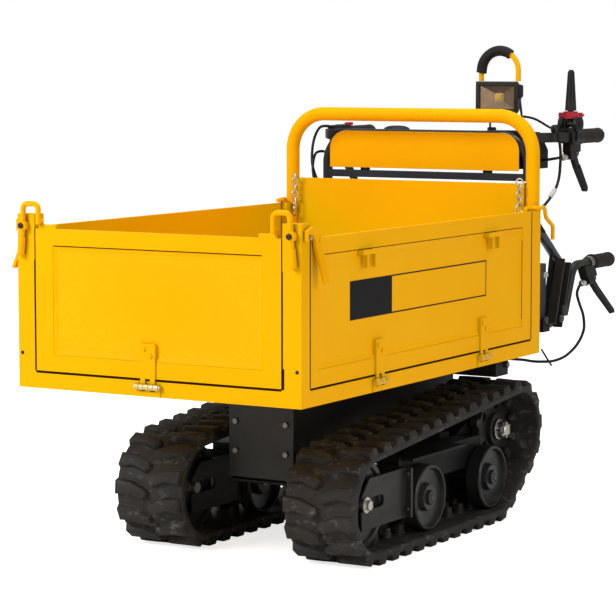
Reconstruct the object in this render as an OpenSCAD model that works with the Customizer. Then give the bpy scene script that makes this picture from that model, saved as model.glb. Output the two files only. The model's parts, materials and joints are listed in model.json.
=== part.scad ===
// Tracked power carrier: a walk-behind electric dumper with a drop-side tipping bed.
// Millimetres, +Z up, front towards -Y, +X on the operator's left, ground at z = 0.

/* [Bed] */
// Overall width of the bed
bed_w = 720; // [660:10:780]
// Length of the bed from its front face to its rear face
bed_l = 1150; // [1110:10:1190]
// Height of the bed's underside above the ground
bed_z = 408; // [404:1:420]
// Height of the bed's bottom skirt
rail_h = 36; // [32:1:40]
// Height of the gates' top edge above the bed's underside
gate_top = 350; // [300:5:380]
// Height of the rear wall above the bed's underside
wall_top = 414; // [390:2:430]
// Thickness of the bed's sheet metal
sheet = 3; // [2:0.5:4]
// Thickness of the tread sheet on the bed's floor
tread_t = 1; // [0.5:0.5:2]
// Width of the front posts
post_w = 45; // [42:1:50]
// Depth of the front posts
post_d = 35; // [34:1:38]
// Height of the front posts above the bed's underside
post_top = 381; // [375:1:400]
// Thickness of a gate
gate_t = 12; // [10:1:16]
// Depth of the pressed field in a gate
recess = 5; // [3:1:6]
// Width of the raised border round a gate's field
border = 36; // [30:1:45]
// Gap between a gate and what stands beside it
gate_gap = 3; // [2:0.5:4]
// Diameter of the bed's hoop tube
hoop_d = 34; // [30:1:38]
// Height of the hoop's top above the bed's underside
hoop_top = 595; // [560:5:630]
// Bend radius of the hoop at its centre line
hoop_bend = 92; // [80:2:110]
// Height of the tipping pivot below the bed's underside
pivot_drop = 25; // [24:1:28]
// Distance of the tipping pivot behind the bed's front face
pivot_y = 455; // [440:5:470]
// Diameter of the tipping pivot pin
pivot_d = 20; // [16:1:24]

/* [Gate hinges and latches] */
// Diameter of a hinge barrel
barrel_d = 13; // [12:0.5:14]
// Diameter of a hinge pin
hinge_pin_d = 6; // [5:0.5:7]
// Length of one hinge knuckle
knuckle_l = 12; // [10:1:14]
// Diameter of the latch hooks' rod
hook_d = 12; // [10:1:13]
// Gap between a latch hook and the gate that it holds
hook_gap = 2; // [1.5:0.5:3]

/* [Tracks] */
// Width of a rubber track
track_w = 180; // [170:5:190]
// Distance of a track's centre from the machine's centre
track_x = 225; // [220:1:235]
// Links round one track
links = 36; // [34:1:38]
// Height of the tread lugs
lug_h = 18; // [14:1:20]
// Thickness of the rubber carcass
carcass_t = 14; // [12:1:16]
// Height of the inner guide horns
horn_h = 22; // [16:1:24]
// Radius of the idler's running face
idler_r = 103; // [98:1:106]
// Radius of a road roller's running face
roller_r = 77.5; // [74:0.5:80]
// Radius of the drive sprocket's tip circle
sprocket_r = 95; // [92:1:97]
// Distance of the idler behind the bed's front face
idler_y = 425; // [420:1:430]
// Distance of the front roller behind the bed's front face
roller1_y = 712; // [708:1:725]
// Distance of the rear roller behind the bed's front face
roller2_y = 1040; // [1030:1:1045]
// Distance of the sprocket behind the bed's front face
sprocket_y = 1151; // [1146:1:1156]
// Height of the sprocket's axle above the ground
sprocket_z = 210; // [206:1:214]
// Teeth of the drive sprocket
teeth = 11; // [9:1:13]

/* [Chassis] */
// Width of the central chassis box
core_w = 172; // [164:2:180]
// Thickness of the chassis plates
plate = 6; // [5:1:8]
// Height of the chassis box's floor above the ground
core_z = 158; // [152:1:164]
// Height of the chassis box's top above the ground
core_top = 352; // [346:1:354]
// Distance of the chassis front plate behind the bed's front face
core_y = 429; // [422:1:434]

/* [Console and handles] */
// Distance of the console hoop behind the bed's rear face
console_y = 82; // [76:1:90]
// Width over the centres of the console hoop's legs
console_w = 572; // [550:2:590]
// Height of the console hoop's top above the ground
console_top = 947; // [930:1:960]
// Diameter of the console tube
console_d = 25; // [22:1:28]
// Distance of a handlebar outside the console hoop's leg
bar_x = 49; // [44:1:54]
// Side of the square handlebar
bar_w = 24; // [20:1:26]
// Height of a handlebar's centre above the ground
bar_z = 930; // [922:1:934]
// Diameter of a hand grip
grip_d = 37; // [33:1:40]
// Length of a hand grip
grip_l = 132; // [120:2:140]
// Distance of the upper grips' front end behind the bed's rear face
grip_y = 272; // [266:1:285]
// Distance of the lower handle outside the console hoop's leg
tip_x = 26; // [26:1:32]
// Height of the lower grip's centre above the ground
tip_z = 600; // [592:1:606]
// Distance of the lower grip's front end behind the bed's rear face
tip_grip_y = 414; // [408:1:424]
// Diameter of the lower handle's tube
tip_d = 22; // [20:1:24]

/* [Work light] */
// Distance of the work light from the machine's centre
lamp_x = 197; // [185:1:205]
// Width of the lamp head
lamp_w = 118; // [108:1:126]
// Height of the lamp head
lamp_h = 80; // [72:1:84]
// Depth of the lamp head
lamp_t = 42; // [38:1:46]
// Height of the lamp's tilting axis above the ground
lamp_z = 1030; // [1024:1:1034]
// Height of the carrying handle's top above the ground
lamp_top = 1157; // [1140:1:1170]

/* [Hidden] */
$fn = 48;
run_gap = 0.06;
seat_gap = 0.4;
body_gap = 0.3;

yellow = "#f5b301";
black = "#26262a";
rubber = "#2b2623";
navy = "#23252f";
steel = "#b9bcc0";
red = "#a51f2a";

// Bed levels and places, with y counted from the bed's front face
half_w = bed_w / 2;
floor_z = bed_z + rail_h;
gate_z0 = floor_z + gate_gap;
gate_z1 = bed_z + gate_top;
gate_h = gate_z1 - gate_z0;
post_z1 = bed_z + post_top;
wall_z1 = bed_z + wall_top;
wall_y = bed_l - 12;
leg_x = half_w - 20;
leg_y = bed_l - 4;
hoop_z1 = bed_z + hoop_top;
front_gate_hw = half_w - post_w - gate_gap;
side_gate_y0 = post_d + gate_gap;
rear_post_w = 49;
side_gate_y1 = bed_l - rear_post_w - gate_gap;
pivot_z = bed_z - pivot_drop;
tread_hw = half_w - gate_t - gate_gap;

// Hinges: the barrel stands just proud of the skirt
axis_out = barrel_d / 2 + 0.5;
axis_z = floor_z - 14;
knuckles = 5;
knuckle_gap = 0.4;
barrel_l = knuckles * knuckle_l + (knuckles - 1) * knuckle_gap;
strap_w = 38;
strap_t = 4;
strap_top = axis_z + 92;
front_hinge_x = -18;
side_hinge_y = [332, 838];

// Latches: front hooks turn on the posts' faces, side levers on the gates, rear rods in the rear posts
pintle_l = 28;
front_pivot = [half_w - 20, gate_z1 + 6];
front_stud_d = 10;
front_stud_l = 22;
keeper_h = 9;
hook_y = -(hook_gap + hook_d / 2);
hook_x = front_gate_hw - 14;
hook_top = post_z1 + 23;
hook_rest = gate_z1 + keeper_h + 1;
hook_bottom = gate_z1 - 58;
lever_pivot = [side_gate_y0 + 19, gate_z1 - 6];
lever_stud = [post_d - 13, gate_z1 + 2];
stud_d = 8;
lever_t = 8;
lever_w = 20;
lever_handle = 90;
lever_flare = 23;
rear_rod_d = 10;
rear_pintle = [half_w - 10, side_gate_y1 + gate_gap + 9];
rear_rod_z = gate_z1 + 2 + rear_rod_d / 2;

// Tracks: radii at the inner face, idler, rear roller and sprocket in turn
idler_z = idler_r + carcass_t + lug_h;
roller_z = roller_r + carcass_t + lug_h;
wheel_c = [[idler_y, idler_z], [roller2_y, roller_z], [sprocket_y, sprocket_z]];
wheel_r = [idler_r, roller_r, sprocket_r];
link_lug = [[88, -18], [88, 14], [50, 10], [10, 24], [0, 15], [2, 4], [46, -14]];
sprocket_t = 20;
horn_u0 = sprocket_t / 2 + 2.5;
horn_u1 = horn_u0 + 14.5;
horn_l = 28;
disc_u0 = horn_u1 + 3;
disc_u1 = disc_u0 + 36;
axle_d = 20;
hub_d = 40;
shaft_d = 28;
idler_axle_d = 26;
idler_u1 = 42;
fork_u = idler_u1 + 3;
fork_t = 6;
fork_y0 = idler_y - 17;
fork_y1 = roller1_y - 100;
fork_z0 = idler_z - 58;
fork_z1 = idler_z + 58;
flange_t = 10;
beam_w = 50;
beam_flange = beam_w / 2 + 4;
step_w = 35;
step_y1 = roller2_y - 140;
beam_z0 = roller_z + 30;
beam_z1 = idler_z + 75;
beam_y1 = roller2_y + 12;
hanger_t = 20;
gearbox_r = 58;
gear_plate_u = hub_d / 2 - 2;
gear_plate_t = 10;

// Chassis
core_x = core_w / 2;
core_y1 = sprocket_y + 74;
skin_t = 5;
cross_y = [640, 930];
cross_w = 50;
cross_z0 = roller_z + roller_r + 3;
cross_h = 34;
rest_y0 = bed_l - 88;
rest_y1 = bed_l - 20;
rest_x = 285;
arm_x = 60;
arm_t = 20;
rear_y0 = bed_l + 150;
rear_y1 = bed_l + 190;
rear_z0 = bed_z + 32;
rear_z1 = rear_z0 + 30;
rear_x = console_w / 2 + 14;
battery_l = 228;
battery_h = 132;
motor_r = sprocket_z - core_z - plate - 2;
catch_x = 200;
catch_y = bed_l + 34;
catch_z = bed_z - 12;
catch_pin_d = 8;
tongue_l = 15;
tongue_z = bed_z + 6;
tongue_t = 6;

// Console, with y counted behind the bed's front face
hoop_y = bed_l + console_y;
console_x = console_w / 2;
hand_x = console_x + bar_x;
low_x = console_x + tip_x;
console_bend = 76;
knee_z = 746;
knee_bead = 1.2;
foot_y = bed_l + 262;
foot_z = 614;
bar18 = 18;
bar18_z = 832;
cover_z0 = 848;
cover_z1 = console_top - 5;
cover_x = console_x - console_d / 2 - 4;
cover_y = hoop_y - console_d / 2 - 6;
cover_t = 3;
box_x = console_x - 81;
box_wide = console_x + 4;
box_y0 = hoop_y + console_d / 2 + 1.5;
box_y1 = hoop_y + 110;
box_z0 = cover_z0 + 4;
box_z1 = console_top - 3;
stop_x = -70;
stop_d = 20;
key_x = 60;
bar_y0 = hoop_y + 18;
grip_y0 = bed_l + grip_y;
housing_y0 = grip_y0 - 74;
housing_y1 = grip_y0 - 3;
lever_drop = 42;
lever_back = 32;
lever_l = 120;
lever_angle = 50;
lever_pin_d = 8;
perch_y0 = -92;
stick_y = grip_y0 - 46;
stick_z = bar_z + bar_w / 2 + 20;
stick_pin_d = 8;
collar_z = stick_z + 14;
tip_y0 = bed_l + tip_grip_y;
tip_foot = [bed_l + 250, 484];
tip_bend = 42;
tip_twist = 17;
channel_foot = [bed_l + 198, 474];
channel_head = [bed_l + 244, 616];
channel_w = 44;
channel_d = 24;
controller_x = console_x + 3;
controller_y0 = bed_l + 92;
controller_y1 = bed_l + 190;
controller_z1 = 612;

// Work light
lamp_y = hoop_y + 40;
lamp_pin_d = 8;
lamp_foot_z = box_z1;
lamp_arm_x = 42;
lamp_back = 12;
lamp_handle_d = 13;
lamp_handle_w = 102;
foam_d = 23;

// The whole machine is centred over the ground, front latch legs to lower grip end
front_proud = hook_gap + hook_d;
tip_reach = tip_grip_y + grip_l;
y_front = (front_proud - bed_l - tip_reach) / 2;

// Cable routes, with y counted from the bed's front face
cable_d = 5;
drive_cable = [[341, 1330, 917.9], [344, 1328, 897], [346, 1320, 866], [343, 1308, 832], [335, 1284, 802],
    [324, 1246, 780], [312, 1228, 764], [304, 1234, 746], [301.5, 1262, 721], [301.3, 1300, 693]];
left_cable = [[335, 1331, 880], [334, 1318, 880], [326, 1305, 878], [309, 1300, 875], [290.1, 1300, 873]];
right_cable = [[-335, 1331, 880], [-336, 1316, 881], [-344, 1294, 884], [-350, 1276, 876], [-349, 1262, 842],
    [-336, 1252, 802], [-318, 1248, 772], [-306, 1258, 738], [-301.3, 1280, 708]];
throttle_cable = [[-335, 1346.2, 944], [-345, 1334, 949], [-359, 1318, 946], [-367, 1304, 922], [-368,
    1292, 888],
    [-362, 1282, 850], [-346, 1276, 815], [-328, 1278, 785], [-312, 1288, 752], [-303, 1298, 714],
    [-301.3, 1310, 687]];
tip_cable = [[326.6, 1471.6, 552], [325, 1458, 546], [322, 1450, 530], [318, 1452, 506], [314, 1460, 476],
    [308, 1460, 440], [300, 1444, 406], [288, 1410, 380], [274, 1360, 362], [256, 1310, 358], [236, 1262,
    364],
    [214, 1218, 374], [200, 1193.2, 380]];
lamp_lead = [[216, 1287.8, 1030], [219, 1300, 1026], [240, 1308, 1010], [276, 1314, 990], [306, 1326, 968],
    [323, 1337, 951], [329, 1345.8, 944]];

// Shared shapes

module placed() {
    translate([0, y_front, 0]) children();
}

module on_side(s) {
    if (s > 0) children();
    else mirror([1, 0, 0]) children();
}

module block(x, y, z) {
    translate([x[0], y[0], z[0]]) cube([x[1] - x[0], y[1] - y[0], z[1] - z[0]]);
}

// Cylinder along X from x[0] to x[1]
module bar_x_way(x, y, z, d) {
    translate([x[0], y, z]) rotate([0, 90, 0]) cylinder(d = d, h = x[1] - x[0]);
}

// Cylinder along Y from y[0] to y[1]
module bar_y_way(x, y, z, d) {
    translate([x, y[0], z]) rotate([-90, 0, 0]) cylinder(d = d, h = y[1] - y[0]);
}

// Outline drawn in y and z, given its thickness along X
module plate_yz(x) {
    translate([x[0], 0, 0]) rotate([90, 0, 90]) linear_extrude(x[1] - x[0]) children();
}

// Tube that starts up +Z; each run is [length, bend radius, bend angle, turn about the tube]
module bent_tube(runs, d, i = 0) {
    run = runs[i];
    cylinder(d = d, h = run[0]);
    if (len(run) > 1)
        translate([0, 0, run[0]]) rotate([0, 0, run[3]]) {
            translate([run[1], 0, 0]) rotate([90, 0, 0]) rotate([0, 0, 180 - run[2]])
                rotate_extrude(angle = run[2]) translate([run[1], 0]) circle(d = d);
            translate([run[1] * (1 - cos(run[2])), 0, run[1] * sin(run[2])])
                rotate([0, run[2], 0]) bent_tube(runs, d, i + 1);
        }
}

// Rectangle with rounded upper corners, drawn from its lower left corner
module tab_outline(w, h, r) {
    square([w, h - r]);
    translate([r, 0]) square([w - 2 * r, h]);
    for (x = [r, w - r]) translate([x, h - r]) circle(r);
}

// Smooth curve through hand-placed points
function curve_point(a, b, c, d, t) = 0.5 * (2 * b + (c - a) * t + (2 * a - 5 * b + 4 * c - d) * t * t
    + (3 * b - a - 3 * c + d) * t * t * t);
function curve(p, n) = concat([for (i = [0 : len(p) - 2], k = [0 : n - 1])
    curve_point(p[max(i - 1, 0)], p[i], p[i + 1], p[min(i + 2, len(p) - 1)], k / n)], [p[len(p) - 1]]);
function unit(v) = v / norm(v);
function heading(p, i) = unit(p[min(i + 1, len(p) - 1)] - p[max(i - 1, 0)]);

// Bend of radius r in place of corner i, and a whole line with its corners bent
function bend_points(p, i, r, n) = let (a = unit(p[i - 1] - p[i]), b = unit(p[i + 1] - p[i]),
    half = acos(a * b) / 2, c = p[i] + unit(a + b) * r / sin(half), w = 180 - 2 * half,
    v0 = p[i] + a * r / tan(half) - c, v1 = p[i] + b * r / tan(half) - c)
    [for (k = [0 : n]) c + (sin(w * (1 - k / n)) * v0 + sin(w * k / n) * v1) / sin(w)];
function rounded(p, r, n = 5) = concat([p[0]], [for (i = [1 : len(p) - 2]) each bend_points(p, i, r, n)],
    [p[len(p) - 1]]);

// Round bar along a line of points: one closed tube, its facets kept square to the given side
module round_bar(path, d, sides, side) {
    ring = [for (i = [0 : len(path) - 1])
        let (t = heading(path, i), u = unit(cross(t, side)), v = cross(t, u))
        for (k = [0 : sides - 1])
            path[i] + d / 2 * (cos(360 * k / sides) * u + sin(360 * k / sides) * v)];
    last = (len(path) - 1) * sides;
    walls = [for (i = [0 : len(path) - 2], k = [0 : sides - 1])
        let (a = i * sides + k, b = i * sides + (k + 1) % sides)
        each [[a, a + sides, b], [b, a + sides, b + sides]]];
    caps = [for (k = [1 : sides - 2]) each [[0, k, k + 1], [last, last + k + 1, last + k]]];
    polyhedron(ring, concat(walls, caps));
}

module cable(points) {
    round_bar(curve(points, 2), cable_d, 8, [0.9, -0.2, 0.3]);
}

// Track geometry

function run_angle(i) = let (a = wheel_c[i], b = wheel_c[(i + 1) % 3], d = b - a)
    atan2(d[1], d[0]) + asin((wheel_r[i] - wheel_r[(i + 1) % 3]) / norm(d));
function turned(a) = a - 360 * floor(a / 360);
function wrap_angle(i) = turned(run_angle(i) - run_angle((i + 2) % 3));
function run_length(i) = let (d = wheel_c[(i + 1) % 3] - wheel_c[i], k = wheel_r[i] - wheel_r[(i + 1) % 3])
    sqrt(d * d - k * k);
function arc_length(i, out) = (wheel_r[i] + out) * wrap_angle(i) * PI / 180;
function belt_length(out) = arc_length(0, out) + arc_length(1, out) + arc_length(2, out)
    + run_length(0) + run_length(1) + run_length(2);
function off_wheel(i, a, out) = wheel_c[i] + (wheel_r[i] + out) * [sin(a), -cos(a)];

// Place on the belt, out from its inner face: [y, z, heading], s counted round from the idler's front wrap
function belt_at(s, out, i = 0) =
    s < arc_length(i, out) ?
        let (a = run_angle((i + 2) % 3) + s / (wheel_r[i] + out) * 180 / PI)
        concat(off_wheel(i, a, out), [a]) :
    s < arc_length(i, out) + run_length(i) ?
        let (a = run_angle(i), p = off_wheel(i, a, out), k = s - arc_length(i, out))
        [p[0] + k * cos(a), p[1] + k * sin(a), a] :
    belt_at(s - arc_length(i, out) - run_length(i), out, i + 1);

module belt_outline(out) {
    for (i = [0 : 2]) translate(wheel_c[i]) circle(wheel_r[i] + out, $fn = 96);
    polygon([for (i = [0 : 2]) each [off_wheel(i, run_angle(i), out),
        off_wheel((i + 1) % 3, run_angle(i), out)]]);
}

// Put a shape on the belt with its own X across, Y along and Z outwards
module on_belt(s, out) {
    p = belt_at(s, out);
    translate([0, p[0], p[1]]) rotate([p[2], 0, 0]) mirror([0, 0, 1]) children();
}

module track() {
    pitch = belt_length(carcass_t) / links;
    inner_pitch = belt_length(0) / links;
    sink = 3;
    plate_yz([-track_w / 2, track_w / 2]) difference() {
        belt_outline(carcass_t);
        belt_outline(0);
    }
    difference() {
        for (i = [0 : links - 1], s = [0, 1])
            on_belt((i + s / 2) * pitch, carcass_t)
                mirror([s, 0, 0]) translate([0, 0, -sink]) linear_extrude(lug_h + sink) polygon(link_lug);
        block([-track_w, track_w], [0, bed_l], [-lug_h, 0]);
    }
    for (i = [0 : links - 1], s = [0, 1])
        on_belt((i + 0.25) * inner_pitch, 0) mirror([s, 0, 0])
            translate([horn_u0, -horn_l / 2, -horn_h]) cube([horn_u1 - horn_u0, horn_l, horn_h + sink]);
}

module side_track(s) {
    color(rubber) on_side(s) translate([track_x, 0, 0]) track();
}

// Wheels, turned about X with their centre on the track's centre plane

module sprocket() {
    root = sprocket_r - 18;
    hub_u = sprocket_t / 2 + 12;
    nut_u = hub_u + 4;
    rotate([90, 0, 90]) {
        difference() {
            linear_extrude(sprocket_t, center = true) {
                circle(root);
                for (i = [0 : teeth - 1]) rotate(360 * i / teeth)
                    polygon([[root - 4, -14], [sprocket_r - body_gap - 1, -6],
                        [sprocket_r - body_gap - 1, 6], [root - 4, 14]]);
            }
            for (i = [0 : 4]) rotate(72 * i) translate([(root + hub_d) / 2 + 2, 0, 0])
                cylinder(r = 11, h = sprocket_t + 2, center = true);
        }
        translate([0, 0, -sprocket_t / 2 - 4]) cylinder(r = hub_d, h = sprocket_t / 2 + 4 + hub_u);
        translate([0, 0, hub_u]) cylinder(r = 25, h = nut_u - hub_u);
        translate([0, 0, nut_u]) difference() {
            cylinder(r = 20, h = 18, $fn = 6);
            for (i = [0 : 2]) rotate(60 * i) translate([-30, -2.5, 11]) cube([60, 5, 10]);
        }
        translate([0, 0, -55]) cylinder(d = shaft_d - 2 * run_gap, h = 55 + nut_u + 21);
    }
}

module idler() {
    rim = 14;
    rotate([90, 0, 90]) rotate_extrude() polygon([
        [idler_axle_d / 2 + run_gap, -idler_u1], [34, -idler_u1], [38, -idler_u1 + 6],
        [idler_r - 16, -idler_u1 + 6], [idler_r - 12, -idler_u1], [idler_r - body_gap, -idler_u1],
        [idler_r - body_gap, -idler_u1 + rim], [72, -idler_u1 + rim], [72, idler_u1 - rim],
        [idler_r - body_gap, idler_u1 - rim], [idler_r - body_gap, idler_u1], [idler_r - 12, idler_u1],
        [idler_r - 16, idler_u1 - 6], [38, idler_u1 - 6], [34, idler_u1],
        [idler_axle_d / 2 + run_gap, idler_u1]]);
}

module roller() {
    bore = axle_d / 2 + run_gap;
    rim = roller_r - body_gap;
    for (s = [0, 1]) mirror([s, 0, 0]) rotate([90, 0, 90]) rotate_extrude() polygon([
        [bore, hanger_t / 2 + 0.5], [20, hanger_t / 2 + 0.5], [20, disc_u0 + 6], [rim - 13, disc_u0 + 6],
        [rim - 11, disc_u0], [rim, disc_u0], [rim, disc_u1 - 3], [rim - 3, disc_u1], [rim - 7, disc_u1],
        [rim - 11, disc_u1 - 12], [34, disc_u1 - 17], [30, disc_u1 - 4], [bore, disc_u1 - 4]]);
}

module side_roller(s, y) {
    color(black) on_side(s) translate([track_x, y, roller_z]) roller();
}

module wheel_axles() color(steel) placed() for (s = [-1, 1]) on_side(s) {
    for (y = [roller1_y, roller2_y]) {
        bar_x_way([track_x - disc_u1, track_x + disc_u1], y, roller_z, axle_d);
        bar_x_way([track_x + disc_u1 - 3.5, track_x + disc_u1 + 1], y, roller_z, 34);
    }
    bar_x_way([track_x - fork_u - fork_t - 4, track_x + fork_u + fork_t], idler_y, idler_z, idler_axle_d);
    translate([track_x + fork_u + fork_t, idler_y, idler_z]) rotate([0, 90, 0]) cylinder(r = 18, h = 4);
    translate([track_x + fork_u + fork_t + 4, idler_y, idler_z]) rotate([0, 90, 0])
        cylinder(r = 12, h = 9, $fn = 6);
}

// Undercarriage

module track_frames() color(black) placed() for (s = [-1, 1]) on_side(s) difference() {
    union() {
        block([track_x - beam_w / 2, track_x + beam_w / 2], [fork_y1 + 2 * flange_t, beam_y1], [beam_z0,
            beam_z1]);
        block([track_x - beam_flange, track_x + beam_flange], [fork_y1 + flange_t,
            fork_y1 + 2 * flange_t], [fork_z0 + 8, beam_z1]);
        block([track_x + beam_w / 2, track_x + beam_w / 2 + step_w], [fork_y1 + 2 * flange_t, step_y1],
            [beam_z1 - plate, beam_z1]);
        for (y = [roller1_y, roller2_y]) plate_yz([track_x - hanger_t / 2, track_x + hanger_t / 2]) {
            translate([y, roller_z]) circle(22);
            translate([y - 22, roller_z]) square([44, beam_z0 - roller_z + 1]);
        }
        plate_yz([track_x - gear_plate_u - gear_plate_t, track_x - gear_plate_u]) {
            translate([sprocket_y, sprocket_z]) circle(62);
            polygon([[beam_y1 - 52, beam_z0], [beam_y1 - 52, beam_z1], [sprocket_y - 20, sprocket_z + 58],
                [sprocket_y, sprocket_z], [sprocket_y, sprocket_z - 62]]);
        }
    }
    for (y = [roller1_y, roller2_y])
        bar_x_way([track_x - beam_w, track_x + beam_w], y, roller_z, axle_d);
    bar_x_way([track_x - beam_w, track_x], sprocket_y, sprocket_z, shaft_d + 4);
}

module tension_forks() color(black) placed() for (s = [-1, 1]) on_side(s) {
    slot_end = idler_y + 72;
    difference() {
        for (u = [-fork_u - fork_t, fork_u])
            plate_yz([track_x + u, track_x + u + fork_t])
                polygon([[fork_y0, fork_z0], [fork_y0, fork_z1 - 38], [fork_y0 + 36, fork_z1],
                    [fork_y1, fork_z1], [fork_y1, fork_z0]]);
        bar_x_way([0, 2 * track_x], slot_end, idler_z, idler_axle_d);
        block([0, 2 * track_x], [0, slot_end], [idler_z - idler_axle_d / 2, idler_z + idler_axle_d / 2]);
    }
    block([track_x - fork_u - fork_t, track_x + disc_u1], [fork_y1, fork_y1 + flange_t],
        [fork_z0, fork_z1]);
    block([track_x - 18, track_x + 18], [idler_y + idler_r + 6, fork_y1], [idler_z - 18, idler_z + 18]);
}

module gearboxes() color(black) placed() for (s = [-1, 1]) on_side(s) difference() {
    x1 = track_x - gear_plate_u - gear_plate_t;
    union() {
        bar_x_way([core_x, x1], sprocket_y, sprocket_z, 2 * gearbox_r);
        bar_x_way([x1 - 8, x1], sprocket_y, sprocket_z, 2 * gearbox_r + 6);
    }
    bar_x_way([track_x - 55 - 1, x1 + 1], sprocket_y, sprocket_z, shaft_d);
}

module drive_motors() color("#55585c") placed() for (s = [-1, 1]) on_side(s) {
    bar_x_way([4, core_x - plate], sprocket_y, sprocket_z, 2 * motor_r);
    bar_x_way([core_x - plate, core_x], sprocket_y, sprocket_z, 40);
}

module chassis_frame() color(black) placed() {
    difference() {
        union() {
            for (s = [-1, 1]) on_side(s) {
                plate_yz([core_x - plate, core_x]) {
                    polygon([[core_y + skin_t, core_z], [core_y + skin_t, pivot_z - 40], [pivot_y - 20,
                        pivot_z],
                        [pivot_y + 20, pivot_z], [pivot_y + 60, core_top], [core_y1, core_top], [core_y1,
                            core_z]]);
                    translate([pivot_y, pivot_z]) circle(20);
                }
                for (y = cross_y)
                    block([core_x - plate, track_x - beam_w / 2], [y, y + cross_w], [cross_z0,
                        cross_z0 + cross_h]);
                plate_yz([arm_x, arm_x + arm_t])
                    polygon([[rest_y1 - 20, core_top - 30], [bed_l + 40, core_top - 30], [rear_y1, rear_z0],
                        [rear_y1, rear_z1], [rear_y0 - 10, rear_z1], [bed_l + 30, bed_z - 20],
                        [rest_y1 - 20, bed_z - 20]]);
            }
            block([-core_x + plate, core_x - plate], [core_y + skin_t, core_y1], [core_z, core_z + plate]);
            block([-core_x + plate, core_x - plate], [core_y1 - plate, core_y1], [core_z, core_top]);
            block([-rest_x, rest_x], [rest_y0, rest_y1], [core_top, bed_z - seat_gap]);
            block([-rear_x, rear_x], [rear_y0, rear_y1], [rear_z0, rear_z1]);
            for (x = [catch_x - 18, catch_x + 12])
                block([x, x + 6], [rest_y1, catch_y + 12], [catch_z - 20, catch_z + 10]);
            bar_x_way([catch_x - 18, catch_x + 18], catch_y, catch_z, catch_pin_d);
        }
        bar_x_way([-half_w, half_w], pivot_y, pivot_z, pivot_d);
        bar_x_way([-half_w, half_w], sprocket_y, sprocket_z, 40);
    }
}

module front_plate() color(black) placed() {
    block([-core_x, core_x], [core_y, core_y + skin_t], [core_z + 12, pivot_z - 12]);
}

module pivot_pin() color(steel) placed() {
    bar_x_way([-core_x - 4, core_x + 4], pivot_y, pivot_z, pivot_d);
}

module batteries() color("#3a3d42") placed() for (i = [0, 1])
    translate([0, core_y + skin_t + 12 + i * (battery_l + 10), core_z + plate])
        block([-core_x + plate + 6, core_x - plate - 6], [0, battery_l], [0, battery_h]);

// Bed

module bearing_lugs() {
    for (s = [-1, 1]) on_side(s) plate_yz([core_x - plate - 20, core_x - plate - 2]) {
        translate([pivot_y, pivot_z]) circle(18);
        translate([pivot_y - 18, pivot_z]) square([36, pivot_drop]);
    }
}

// Fixed half of a hinge: leaf and outer knuckles on the skirt, axis along X at y = -axis_out
module hinge_fixed() {
    step = knuckle_l + knuckle_gap;
    block([-barrel_l / 2, barrel_l / 2], [-strap_t + 1, 0], [bed_z + 1, axis_z - 10]);
    difference() {
        for (i = [0 : 2 : knuckles - 1]) translate([-barrel_l / 2 + i * step, 0, 0]) {
            bar_x_way([0, knuckle_l], -axis_out, axis_z, barrel_d);
            block([0, knuckle_l], [-strap_t + 1, 0], [axis_z - 10, axis_z + 3]);
        }
        bar_x_way([-barrel_l, barrel_l], -axis_out, axis_z, hinge_pin_d + 2 * run_gap);
    }
}

// Moving half of a hinge: strap up the gate and the inner knuckles
module hinge_moving() {
    step = knuckle_l + knuckle_gap;
    block([-strap_w / 2, strap_w / 2], [-strap_t, recess], [gate_z0, strap_top]);
    difference() {
        for (i = [1 : 2 : knuckles - 2]) translate([-barrel_l / 2 + i * step, 0, 0]) {
            bar_x_way([0, knuckle_l], -axis_out, axis_z, barrel_d);
            block([0, knuckle_l], [-strap_t, -body_gap], [axis_z, gate_z0]);
        }
        bar_x_way([-barrel_l, barrel_l], -axis_out, axis_z, hinge_pin_d + 2 * run_gap);
    }
}

module hinge_pin() {
    bar_x_way([-barrel_l / 2 - 1, barrel_l / 2 + 1], -axis_out, axis_z, hinge_pin_d);
    bar_x_way([barrel_l / 2 + 1, barrel_l / 2 + 4], -axis_out, axis_z, hinge_pin_d + 4);
}

// Put what is drawn for the front gate onto the left side
module on_left(y) {
    translate([half_w, y, 0]) rotate([0, 0, 90]) children();
}

module front_post() difference() {
    block([half_w - post_w, half_w], [0, post_d], [floor_z, post_z1]);
    block([half_w - post_w + sheet, half_w - sheet], [sheet, post_d - sheet], [floor_z - 1,
        post_z1 - pintle_l - 6]);
    bar_y_way(front_pivot[0], [-1, front_stud_l + 1], front_pivot[1], front_stud_d + 2 * run_gap);
}

module rear_post() {
    block([half_w - sheet, half_w], [bed_l - rear_post_w, bed_l], [floor_z, gate_z1]);
    difference() {
        block([half_w - 28, half_w - sheet], [bed_l - rear_post_w, bed_l - rear_post_w + 26], [floor_z,
            gate_z1]);
        translate([rear_pintle[0], rear_pintle[1], gate_z1 - pintle_l])
            cylinder(d = rear_rod_d + 2 * run_gap, h = pintle_l + 1);
    }
}

module bed_frame() color(yellow) placed() {
    block([-half_w, half_w], [0, bed_l], [floor_z - sheet, floor_z]);
    block([-tread_hw, tread_hw], [side_gate_y0, side_gate_y1], [floor_z, floor_z + tread_t]);
    for (s = [-1, 1]) on_side(s) {
        block([half_w - sheet, half_w], [0, bed_l], [bed_z, floor_z]);
        difference() {
            block([core_x - plate - 24, core_x - plate], [core_y - 20, bed_l], [bed_z, floor_z]);
            block([core_x - plate - 21, core_x - plate - 3], [core_y, bed_l - 20], [bed_z + 3,
                floor_z - sheet]);
        }
        front_post();
        rear_post();
        for (y = side_hinge_y) on_left(y) hinge_fixed();
    }
    for (y = [0, bed_l - sheet]) block([-half_w, half_w], [y, y + sheet], [bed_z, floor_z]);
    translate([front_hinge_x, 0, 0]) hinge_fixed();
    difference() {
        bearing_lugs();
        bar_x_way([-half_w, half_w], pivot_y, pivot_z, pivot_d + 2 * run_gap);
    }
    block([catch_x - 11, catch_x + 11], [bed_l, bed_l + tongue_l], [tongue_z, tongue_z + tongue_t]);
}

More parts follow.
